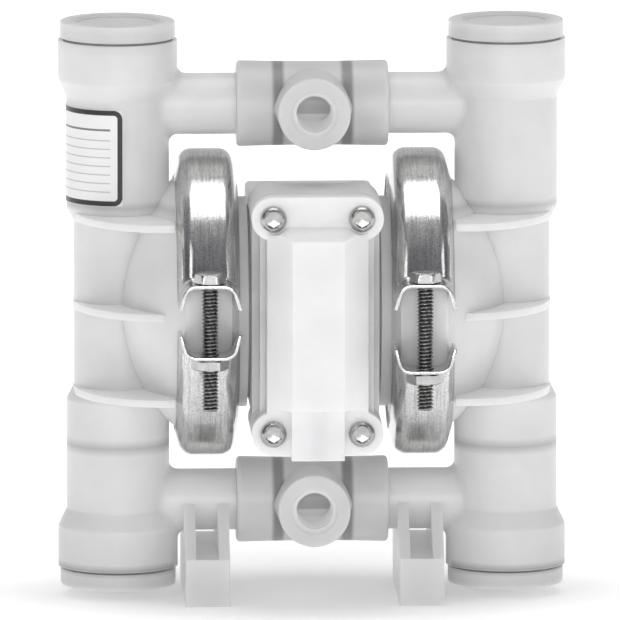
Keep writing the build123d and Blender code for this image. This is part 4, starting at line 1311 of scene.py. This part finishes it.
@dataclass
class Clamps:
    """The two clamp bands, each in an upper and a lower half, with their bolts and nuts."""

    channel: ChannelTree
    thread: ThreadTree
    rows: RowTree
    band_radius: float = 44.5
    bend_radius: float = 1.2
    width: float = 18.3
    depth: float = 7.3
    slope: float = 16.0
    sheet: float = 1.1
    corner: float = 4.0
    rim_bevel: float = 0.28
    ear_reach: float = 54.4
    bolt_reach: float = 49.4
    hole_radius: float = 2.65
    hole_reach: float = 8.0
    upper_ear: float = 12.7
    lower_ears: tuple[float, float] = (9.3, 13.6)
    bolt_radius: float = 2.4
    bolt_pitch: float = 1.058
    thread_depth: float = 0.6
    bolt_length: float = 37.2
    head_flats: float = 7.94
    head_height: float = 3.0
    nut_flats: float = 9.5
    nut_height: float = 3.2

    def ear(self, side: Side, up: int) -> float:
        """Rise of an ear over the shaft axis, without its sign."""
        return self.upper_ear if up > 0 else self.lower_ears[0 if side is Side.LEFT else 1]

    def band(self, side: Side, up: int) -> bpy.types.Object:
        """One clamp half.

        Args:
            side: End of the shaft.
            up: 1 for the upper half, -1 for the lower.

        Returns:
            The half as a closed sheet of metal.
        """
        rise = self.ear(side, up) + self.bend_radius
        turn_radius = self.band_radius + self.bend_radius
        sweep = math.acos(rise / turn_radius)
        bend_reach = math.sqrt(turn_radius**2 - rise**2)
        half = "upper" if up > 0 else "lower"
        name = f"{side.word}_{half}_clamp_band"
        values = {
            "Band Radius": self.band_radius * MM,
            "Bend Radius": self.bend_radius * MM,
            "Half Sweep": sweep,
            "Ear Length": (self.ear_reach - bend_reach) * MM,
            "Top Half Width": (self.width / 2 - self.depth * math.tan(math.radians(self.slope))) * MM,
            "Mouth Half Width": self.width / 2 * MM,
            "Depth": self.depth * MM,
            "Corner Radius": self.corner * MM,
            "Place": (side.value * LAYOUT.clamp_offset * MM, 0.0, LAYOUT.shaft_height * MM),
            "Turn": (0.0 if up > 0 else math.pi, 0.0, 0.0),
        }
        band = self.channel.make(name, Palette.clamp.material(), values)
        self.face_outwards(band, side)
        sheet = band.modifiers.new("sheet", "SOLIDIFY")
        sheet.thickness = self.sheet * MM
        sheet.offset = -1.0
        sheet.use_even_offset = True
        rims = band.modifiers.new("rims", "BEVEL")
        rims.width = self.rim_bevel * MM
        rims.segments = 2
        rims.angle_limit = math.radians(60.0)
        band = applied(band)
        for end in (-1, 1):
            band = self.drilled(band, side, up, end)
        return seated(shaded(band, 40.0), "clamp_steel", f"{side.word}_{half}_clamp")

    def face_outwards(self, band: bpy.types.Object, side: Side) -> None:
        """Turns the skin's faces away from the shaft axis.

        Args:
            band: Skin of a clamp half.
            side: End of the shaft.
        """
        centre = Vector((side.value * LAYOUT.clamp_offset, 0.0, LAYOUT.shaft_height)) * MM
        crown = max(band.data.polygons, key=lambda face: abs(face.center.z - centre.z))
        if crown.normal.dot(crown.center - centre) < 0:
            band.data.flip_normals()

    def drilled(self, band: bpy.types.Object, side: Side, up: int, end: int) -> bpy.types.Object:
        """Cuts the bolt hole through one ear.

        Args:
            band: The clamp half.
            side: End of the shaft.
            up: 1 for the upper half, -1 for the lower.
            end: -1 for the front ear, 1 for the back one.

        Returns:
            The clamp half with the hole.
        """
        radius, reach = self.hole_radius, self.hole_reach
        hole = spun("hole", [Knot(0, -reach), Knot(radius, -reach), Knot(radius, reach), Knot(0, reach)], 40)
        height = LAYOUT.shaft_height + up * self.ear(side, up)
        place = (side.value * LAYOUT.clamp_offset, end * self.bolt_reach, height)
        drill = linked("drill", turned_to(hole, place, (0, 0, 1)))
        cut = band.modifiers.new("hole", "BOOLEAN")
        cut.operation = "DIFFERENCE"
        cut.solver = "EXACT"
        cut.object = drill
        band = applied(band)
        bpy.data.objects.remove(drill)
        return band

    def head(self) -> bpy.types.Mesh:
        """Hexagonal bolt head, standing on the ear at height 0.

        Returns:
            Its closed mesh.
        """
        corner = self.head_flats / 2 / math.cos(math.pi / 6)
        inner = self.head_flats / 2 - 0.25
        knots = [
            Knot(0, -0.02),
            Knot(inner, -0.02),
            Knot(corner, 0.15, self.head_flats),
            Knot(corner, self.head_height - 0.75, self.head_flats),
            Knot(corner - 0.35, self.head_height - 0.3, self.head_flats),
            Knot(inner - 0.15, self.head_height, 0),
            Knot(inner - 0.9, self.head_height, 0),
            Knot(0, self.head_height),
        ]
        mesh = spun("bolt_head", knots, 72)
        mesh.transform(Matrix.Rotation(math.radians(30.0), 4, "Z"))
        return mesh

    def bolts(self, side: Side) -> bpy.types.Object:
        """The front and back bolt of one clamp, with real threads.

        Args:
            side: End of the shaft.

        Returns:
            Both bolts as one piece.
        """
        height = LAYOUT.shaft_height + self.upper_ear
        head = self.head()
        head.transform(Matrix.Rotation(math.pi, 4, "X"))
        values = {
            "Crest Radius": self.bolt_radius * MM,
            "Depth": self.thread_depth * MM,
            "Pitch": self.bolt_pitch * MM,
            "Length": self.bolt_length * MM,
            "Wall Radius": 0.0,
            "Turn": (math.pi, 0.0, 0.0),
            "Start": (side.value * LAYOUT.clamp_offset * MM, -self.bolt_reach * MM, height * MM),
            "Step": (0.0, 2 * self.bolt_reach * MM, 0.0),
            "Count": 2,
        }
        pair = self.thread.make(
            f"{side.word}_clamp_bolt_pair", Palette.fastener.material(), values, base=head
        )
        return seated(shaded(pair, 50.0), "fastener_steel", f"{side.word}_clamp_bolts")

    def nuts(self, side: Side) -> bpy.types.Object:
        """The front and back nut of one clamp.

        Args:
            side: End of the shaft.

        Returns:
            Both nuts as one piece.
        """
        corner = self.nut_flats / 2 / math.cos(math.pi / 6)
        inner = self.nut_flats / 2 - 0.3
        bore = self.bolt_radius + 0.02
        knots = [
            Knot(bore, -0.3),
            Knot(bore + 0.35, 0),
            Knot(inner, 0),
            Knot(corner, -0.4, self.nut_flats),
            Knot(corner, 0.4 - self.nut_height, self.nut_flats),
            Knot(inner, -self.nut_height),
            Knot(bore + 0.35, -self.nut_height),
            Knot(bore, 0.3 - self.nut_height),
        ]
        base = spun("nut", knots, 72, closed=True)
        base.transform(Matrix.Rotation(math.radians(30.0), 4, "Z"))
        height = LAYOUT.shaft_height - self.ear(side, -1)
        start = (side.value * LAYOUT.clamp_offset, -self.bolt_reach, height)
        values = self.rows.places(start, (0.0, 2 * self.bolt_reach, 0.0))
        pair = self.rows.make(f"{side.word}_clamp_nut_pair", Palette.fastener.material(), values, base=base)
        return seated(shaded(pair, 35.0), "fastener_steel", f"{side.word}_clamp_nuts")

    def build(self) -> None:
        """Builds both clamps."""
        for side in Side:
            for up in (1, -1):
                self.band(side, up)
            self.bolts(side)
            self.nuts(side)


@dataclass
class AirValve:
    """The valve body with its screws."""

    rows: RowTree
    head_radius: float = 3.8
    head_height: float = 2.2
    shank_radius: float = 1.9
    shank_length: float = 26.0
    socket_flats: float = 4.0
    socket_depth: float = 1.4

    def screw(self) -> bpy.types.Mesh:
        """Button head screw, its head up and its seat at height 0.

        Returns:
            Its closed mesh.
        """
        socket = self.socket_flats / 2 / math.cos(math.pi / 6)
        rim, top = self.head_radius, self.head_height
        knots = [Knot(0, -self.shank_length), Knot(self.shank_radius - 0.4, -self.shank_length)]
        knots += [Knot(self.shank_radius, 0.4 - self.shank_length), Knot(self.shank_radius, 0)]
        knots += [Knot(rim - 0.1, 0), Knot(rim, 0.1), Knot(rim, 0.5), Knot(rim - 0.12, 1.0)]
        knots += [Knot(rim - 0.4, top - 0.65), Knot(rim - 0.75, top - 0.25), Knot(rim - 1.1, top - 0.05)]
        knots += [Knot(socket + 0.2, top), Knot(socket, top - 0.2, self.socket_flats)]
        knots += [Knot(socket, top - self.socket_depth, self.socket_flats)]
        knots += [Knot(0.8, top - self.socket_depth - 0.2), Knot(0, top - self.socket_depth - 0.35)]
        return spun("button_screw", knots, 72)

    def screws(self) -> bpy.types.Object:
        """The four screws of the valve.

        Returns:
            All four as one piece.
        """
        front = LAYOUT.housing_flange_front
        low = LAYOUT.shaft_height - LAYOUT.screw_half_z
        base = turned_to(self.screw(), (0, 0, 0), (0, -1, 0))
        across, up = (2 * LAYOUT.screw_half_x, 0.0, 0.0), (0.0, 0.0, 2 * LAYOUT.screw_half_z)
        values = self.rows.places((-LAYOUT.screw_half_x, front, low), across, up)
        piece = self.rows.make("valve_button_screws", Palette.fastener.material(), values, base=base)
        return seated(shaded(piece, 35.0), "fastener_steel", "valve_screws")

    def body(self) -> bpy.types.Object:
        """The moulded valve body with soft edges."""
        piece = dressed(softened("valve_body", "valve_body_shell", 0.55), Palette.valve.material())
        return seated(piece, "valve_plastic", "valve_body")

    def build(self) -> None:
        """Builds the valve."""
        self.body()
        self.screws()


@dataclass
class CentreSection:
    """The centre block and what is fixed to its back."""

    rows: RowTree
    ring: RingTree
    thread: ThreadTree
    plate_rise: float = -7.0
    plate_back: float = 40.6
    screw_half_x: float = 11.0
    screw_half_z: float = 11.5
    screw_head: float = 2.9
    screw_head_height: float = 2.0
    screw_radius: float = 1.7
    screw_length: float = 14.0
    silencer_radius: float = 10.0
    silencer_length: float = 28.0
    silencer_hex_flats: float = 15.9
    silencer_hex_length: float = 5.0
    silencer_stub_radius: float = 6.5
    silencer_stub_length: float = 4.6
    silencer_cap_length: float = 5.0
    silencer_cap_round: float = 2.6
    silencer_ribs: int = 24
    rib_depth: float = 2.0
    rib_width: float = 0.95
    rib_bevel: float = 0.22
    rib_overlap: float = 0.2
    inlet_rise: float = 20.0
    inlet_bore: float = 4.4
    inlet_front: float = 39.0
    inlet_thread: ThreadFit = ThreadFit(0.55, 0.5, 1.41, 12.0, 0.6)

    def block(self) -> None:
        """The block and the plate with soft edges."""
        for node, width in (("centre_block", 0.5), ("exhaust_plate", 0.5)):
            piece = dressed(softened(node, f"{node}_shell", width), Palette.block.material())
            seated(piece, "block_plastic", node)

    def plate_screws(self) -> None:
        """The four pan head screws of the exhaust plate."""
        head = self.screw_head
        knots = [Knot(0, -self.screw_length), Knot(self.screw_radius, 0.3 - self.screw_length)]
        knots += [Knot(self.screw_radius, 0), Knot(head, 0.05), Knot(head, 0.7), Knot(head - 0.35, 1.45)]
        knots += [Knot(head - 1.0, self.screw_head_height), Knot(1.5, self.screw_head_height, 2.5)]
        knots += [Knot(1.5, self.screw_head_height - 1.1, 2.5), Knot(0, self.screw_head_height - 1.2)]
        base = turned_to(spun("pan_screw", knots, 48), (0, 0, 0), (0, 1, 0))
        low = LAYOUT.shaft_height + self.plate_rise - self.screw_half_z
        across, up = (2 * self.screw_half_x, 0.0, 0.0), (0.0, 0.0, 2 * self.screw_half_z)
        values = self.rows.places((-self.screw_half_x, self.plate_back, low), across, up)
        piece = self.rows.make("plate_pan_screws", Palette.fastener.material(), values, base=base)
        seated(shaded(piece, 35.0), "fastener_steel", "exhaust_plate_screws")

    def silencer(self) -> None:
        """The silencer: hexagon, core, end cap and ribs round the core."""
        hex_end = self.silencer_hex_length
        end = hex_end + self.silencer_length
        corner = self.silencer_hex_flats / 2 / math.cos(math.pi / 6)
        outside = self.silencer_radius
        core = outside - 1.6
        cap = end - self.silencer_cap_length
        stub = self.silencer_stub_radius
        knots = [Knot(0, -self.silencer_stub_length), Knot(stub - 0.5, -self.silencer_stub_length)]
        knots += [Knot(stub, 0.5 - self.silencer_stub_length), Knot(stub, 0)]
        knots += [Knot(corner - 0.9, 0, 0), Knot(corner, 0.5, self.silencer_hex_flats)]
        knots += [Knot(corner, hex_end - 0.5, self.silencer_hex_flats), Knot(corner - 0.9, hex_end)]
        knots += [Knot(core, hex_end), Knot(core, cap), Knot(outside - 0.4, cap)]
        knots += [Knot(outside, end - 4.6)]
        crown = [(outside, end - 3.4), (outside, end, self.silencer_cap_round), (0.0, end)]
        knots += rounded(crown, 8)[1:]
        body = spun("silencer_body", knots, 96)
        rib = bmesh.new()
        bmesh.ops.create_cube(rib, size=1.0)
        length = cap - hex_end + 2 * self.rib_overlap
        size = Matrix.Diagonal((self.rib_depth * MM, self.rib_width * MM, length * MM, 1.0))
        middle_height = hex_end + length / 2 - self.rib_overlap
        place = Matrix.Translation(((core + 0.45) * MM, 0.0, middle_height * MM))
        bmesh.ops.transform(rib, matrix=place @ size, verts=rib.verts)
        bmesh.ops.bevel(rib, geom=rib.edges, offset=self.rib_bevel * MM, segments=2, affect="EDGES")
        rib_mesh = bpy.data.meshes.new("silencer_rib")
        rib.to_mesh(rib_mesh)
        rib.free()
        middle = (0.0, self.plate_back * MM, (LAYOUT.shaft_height + self.plate_rise) * MM)
        values = {"Count": self.silencer_ribs, "Turn": (-math.pi / 2, 0.0, 0.0), "Place": middle}
        ribs = self.ring.make("silencer_ribs", Palette.silencer.material(), values, base=rib_mesh)
        body.transform(Matrix.Translation(middle) @ Matrix.Rotation(-math.pi / 2, 4, "X"))
        whole = linked("slotted_silencer", merged("slotted_silencer", [body, ribs.data]))
        bpy.data.objects.remove(ribs)
        dressed(whole, Palette.silencer.material())
        seated(shaded(whole, 35.0), "silencer_plastic", "silencer")

    def air_inlet_thread(self) -> None:
        """Pipe thread in the air inlet."""
        mouth = self.inlet_front - self.inlet_thread.mouth_inset
        start = (0.0, mouth, LAYOUT.shaft_height + self.inlet_rise)
        values = self.thread.inside(self.inlet_bore, self.inlet_thread, math.pi / 2, start)
        piece = self.thread.make("air_inlet_thread", Palette.block.material(), values)
        seated(shaded(piece, 50.0), "block_plastic")

    def build(self) -> None:
        """Builds the centre section."""
        self.block()
        self.plate_screws()
        self.silencer()
        self.air_inlet_thread()


@dataclass
class Manifolds:
    """Threads in the ports of the two tees."""

    thread: ThreadTree
    bore: float = 5.5
    mouth: float = 23.15
    fit: ThreadFit = ThreadFit(0.38, 0.34, 1.41, 15.0, 0.3)

    def port_thread(self, level: Level) -> bpy.types.Object:
        """Pipe thread in one port.

        Args:
            level: Manifold of the port.

        Returns:
            The thread as a closed sleeve.
        """
        height = LAYOUT.shaft_height + level.value * LAYOUT.manifold_rise
        start = (0.0, self.fit.mouth_inset - self.mouth, height)
        values = self.thread.inside(self.bore, self.fit, -math.pi / 2, start)
        piece = self.thread.make(f"{level.word}_port_thread", Palette.natural.material(), values)
        return seated(shaded(piece, 50.0), "natural_plastic", body=f"{level.word}_swivel")

    def build(self) -> None:
        """Builds both threads."""
        for level in Level:
            self.port_thread(level)


@dataclass
class Columns:
    """Details of the liquid chambers: cap lips and the blank label."""

    rows: RowTree
    recess_radius: float = 12.6
    recess_depth: float = 0.9
    label_radius: float = 14.92
    label_thickness: float = 0.15
    label_height: float = 28.0
    label_middle_rise: float = 44.1
    label_start: float = 4.0
    label_sweep: float = 134.0
    label_steps: int = 96

    def cap_lips(self, level: Level) -> bpy.types.Object:
        """Raised lip round the recess of the two caps on one level.

        Args:
            level: Manifold of the caps.

        Returns:
            Both lips as one piece.
        """
        low = -self.recess_depth - 0.05
        corners = [
            (self.recess_radius - 0.9, low),
            (self.recess_radius - 0.9, low + 0.55, 0.2),
            (self.recess_radius - 0.35, low + 0.75, 0.2),
            (self.recess_radius - 0.2, -0.02, 0.15),
            (self.recess_radius + 0.1, -0.02),
            (self.recess_radius + 0.1, low),
        ]
        base = spun("cap_lip", rounded(corners, 3), 96, closed=True)
        if level is Level.INLET:
            base.transform(Matrix.Rotation(math.pi, 4, "X"))
        height = LAYOUT.shaft_height + level.value * LAYOUT.cap_face_rise
        start = (-LAYOUT.column_offset, 0.0, height)
        values = self.rows.places(start, (2 * LAYOUT.column_offset, 0.0, 0.0))
        piece = self.rows.make(f"{level.word}_cap_lips", Palette.natural.material(), values, base=base)
        return seated(shaded(piece, 35.0), "natural_plastic")

    def label(self) -> bpy.types.Object:
        """Film wrapped round the left column, with its own UV map in millimetres.

        Returns:
            The film as a closed thin shell.
        """
        shape = bmesh.new()
        film = shape.loops.layers.uv.new("film")
        inner = self.label_radius
        outer = inner + self.label_thickness
        low = LAYOUT.shaft_height + self.label_middle_rise - self.label_height / 2
        middle = math.radians(self.label_start - self.label_sweep / 2)
        rows = []
        for number in range(self.label_steps + 1):
            angle = math.radians(self.label_start - self.label_sweep * number / self.label_steps)
            along = (middle - angle) * outer
            corners = []
            outline = [(outer, 0), (outer, self.label_height), (inner, self.label_height), (inner, 0)]
            for radius, height in outline:
                x = -LAYOUT.column_offset + radius * math.sin(angle)
                y = -radius * math.cos(angle)
                corners.append((shape.verts.new((x * MM, y * MM, (low + height) * MM)), along, height))
            rows.append(corners)
        sides = [
            (here[k], after[k], after[(k + 1) % 4], here[(k + 1) % 4])
            for here, after in zip(rows, rows[1:])
            for k in range(4)
        ]
        for corners in [*sides, rows[0], rows[-1]]:
            face = shape.faces.new([corner[0] for corner in corners])
            for loop, corner in zip(face.loops, corners):
                loop[film].uv = (corner[1], corner[2] - self.label_height / 2)
        bmesh.ops.recalc_face_normals(shape, faces=shape.faces)
        mesh = bpy.data.meshes.new("blank_label")
        shape.to_mesh(mesh)
        shape.free()
        piece = dressed(linked("blank_label", mesh), Palette.label.material())
        return seated(shaded(piece, 35.0), "label_film", "column_label")

    def build(self) -> None:
        """Builds the lips and the label."""
        for level in Level:
            self.cap_lips(level)
        self.label()


@dataclass(frozen=True)
class Lamp:
    """A soft box: place and size in metres, power in watts."""

    name: str
    place: tuple[float, float, float]
    size: tuple[float, float]
    power: float


@dataclass
class Studio:
    """Camera, floor and lights."""

    distance: float = 7.0
    azimuth: float = -2.0
    elevation: float = 8.6
    target: tuple[float, float, float] = (-0.5, 0.0, 82.8)
    view_width: float = 179.8
    floor_size: float = 30.0
    # Painted floor glow: least in an ellipse under the pump, a painted shadow, rising round it and far away,
    # and halved in front.
    shadow_glow: float = 0.2
    around_glow: float = 0.2
    far_glow: float = 0.4
    shadow_weights: tuple[float, float] = (138.0, 625.0)
    shadow_edges: tuple[float, float] = (0.6, 1.25)
    far_edges: tuple[float, float] = (0.13, 0.40)
    before_edges: tuple[float, float] = (0.10, 0.40)
    lamps: tuple[Lamp, ...] = (
        Lamp("key_box", (-1.3, -1.6, 1.3), (0.9, 1.2), 5.0),
        Lamp("fill_box", (1.5, -1.2, 0.9), (0.8, 1.2), 4.0),
        Lamp("front_box", (0.0, -2.4, 0.45), (0.9, 0.5), 11.0),
        Lamp("top_box", (0.0, 0.05, 1.9), (1.5, 1.1), 10.5),
    )

    def camera(self) -> None:
        """Long lens from the front, a little above."""
        data = bpy.data.cameras.new("camera")
        camera = bpy.data.objects.new("camera", data)
        bpy.context.scene.collection.objects.link(camera)
        turn, lift = math.radians(self.azimuth), math.radians(self.elevation)
        back = Vector(
            (math.sin(turn) * math.cos(lift), -math.cos(turn) * math.cos(lift), math.sin(lift))
        )
        camera.location = Vector(self.target) * MM + back * self.distance
        camera.rotation_mode = "QUATERNION"
        camera.rotation_quaternion = (-back).to_track_quat("-Z", "Y")
        data.lens = data.sensor_width * self.distance / (self.view_width * MM)
        data.clip_start = 0.1
        data.clip_end = 60.0
        bpy.context.scene.camera = camera

    def floor(self) -> None:
        """Pale floor with a painted glow: dimmest in an ellipse under the pump, a painted shadow, brighter
        further out and most behind the pump.
        """
        shape = bmesh.new()
        bmesh.ops.create_grid(shape, x_segments=1, y_segments=1, size=self.floor_size / 2)
        mesh = bpy.data.meshes.new("floor")
        shape.to_mesh(mesh)
        shape.free()
        made = bpy.data.materials.new("floor_paper")
        made.use_nodes = True
        graph = Graph(made.node_tree)
        place = graph.add("ShaderNodeTexCoord", output="Object")
        grain = graph.add("ShaderNodeTexNoise", inputs={"Vector": place, "Scale": 900.0, "Detail": 2.0})
        colour = graph.mix(grain, (0.93, 0.93, 0.93, 1.0), (0.96, 0.96, 0.96, 1.0))
        split = graph.add("ShaderNodeSeparateXYZ", inputs={0: place})
        x, y = (Wire(graph, split.socket.node.outputs[axis]) for axis in "XY")
        # painted light and shadow on the floor: the glow rises away from the pump and is least in an ellipse
        # under it
        far = (x * x + y * y).root().step(*self.far_edges)
        before = (-1 * y).step(*self.before_edges)
        across, along = self.shadow_weights
        around = (across * x * x + along * y * y).root().step(*self.shadow_edges)
        glow = self.shadow_glow + self.around_glow * around + self.far_glow * far * (1 - 0.5 * before)
        shine = graph.mix(glow, (0.0, 0.0, 0.0, 1.0), (1.0, 1.0, 1.0, 1.0))
        shader = graph.add(
            "ShaderNodeBsdfPrincipled",
            inputs={
                "Base Color": colour,
                "Roughness": 0.9,
                "Specular IOR Level": 0.1,
                "Emission Color": shine,
                "Emission Strength": 1.0,
            },
        )
        graph.add("ShaderNodeOutputMaterial", inputs={"Surface": shader})
        dressed(linked("floor", mesh), made)

    def light(self, lamp: Lamp) -> None:
        """Hangs a lamp that points at the pump.

        Args:
            lamp: The lamp.
        """
        data = bpy.data.lights.new(lamp.name, "AREA")
        data.shape = "RECTANGLE"
        data.size, data.size_y = lamp.size
        data.energy = lamp.power
        obj = bpy.data.objects.new(lamp.name, data)
        bpy.context.scene.collection.objects.link(obj)
        obj.location = lamp.place
        aim = Vector(self.target) * MM - Vector(lamp.place)
        obj.rotation_mode = "QUATERNION"
        obj.rotation_quaternion = aim.to_track_quat("-Z", "Y")

    def world(self) -> None:
        """Grey room for reflections, and white behind the pump."""
        world = bpy.data.worlds.new("studio")
        world.use_nodes = True
        graph = Graph(world.node_tree)
        seen = graph.add("ShaderNodeLightPath", output="Is Camera Ray")
        way = graph.add("ShaderNodeTexCoord", output="Generated")
        split = graph.add("ShaderNodeSeparateXYZ", inputs={0: way})
        height = Wire(graph, split.socket.node.outputs["Z"])
        back = Wire(graph, split.socket.node.outputs["Y"])
        ramp = {
            "stops": [
                (0.0, (0.26, 0.26, 0.27, 1.0)),
                (0.3, (0.13, 0.13, 0.14, 1.0)),
                (0.75, (0.24, 0.24, 0.25, 1.0)),
                (1.0, (0.50, 0.50, 0.51, 1.0)),
            ]
        }
        grey = graph.add("ShaderNodeValToRGB", ramp, {"Fac": height})
        wall = graph.mix((0.6 * back.most(0.0)).within(0.0, 1.0), grey, (0.85, 0.85, 0.86, 1.0))
        room = graph.add("ShaderNodeBackground", inputs={"Color": wall, "Strength": 1.0})
        white = graph.add("ShaderNodeBackground", inputs={"Color": (1.0, 1.0, 1.0, 1.0), "Strength": 1.0})
        mixed = graph.add("ShaderNodeMixShader", inputs={0: seen, 1: room, 2: white})
        graph.add("ShaderNodeOutputWorld", inputs={"Surface": mixed})
        bpy.context.scene.world = world

    def build(self) -> None:
        """Sets up the studio."""
        self.camera()
        self.floor()
        self.world()
        for lamp in self.lamps:
            self.light(lamp)
        scene = bpy.context.scene
        scene.view_settings.view_transform = "Standard"
        scene.view_settings.look = "None"


def dress_frame() -> None:
    """Gives every CAD node the finish of its slot."""
    for name, node in frame["nodes"].items():
        slot = node.material_slots[0].material.name.split(".")[0]
        material = SLOT_FINISHES[slot].material()
        for entry in node.material_slots:
            entry.material = material
        LOG.info("%s: dressed in %s", name, material.name)


def main() -> None:
    """Builds the pump's visual model and its studio."""
    logging.basicConfig(level=logging.INFO, format="%(name)s: %(message)s")
    Studio().build()
    dress_frame()
    rows, ring = RowTree(), RingTree()
    rod_thread, port_thread = ThreadTree(36, sleeve=False), ThreadTree(11, sleeve=True)
    Columns(rows).build()
    Manifolds(port_thread).build()
    Clamps(ChannelTree(), rod_thread, rows).build()
    CentreSection(rows, ring, port_thread).build()
    AirValve(rows).build()


if __name__ == "__main__":
    main()
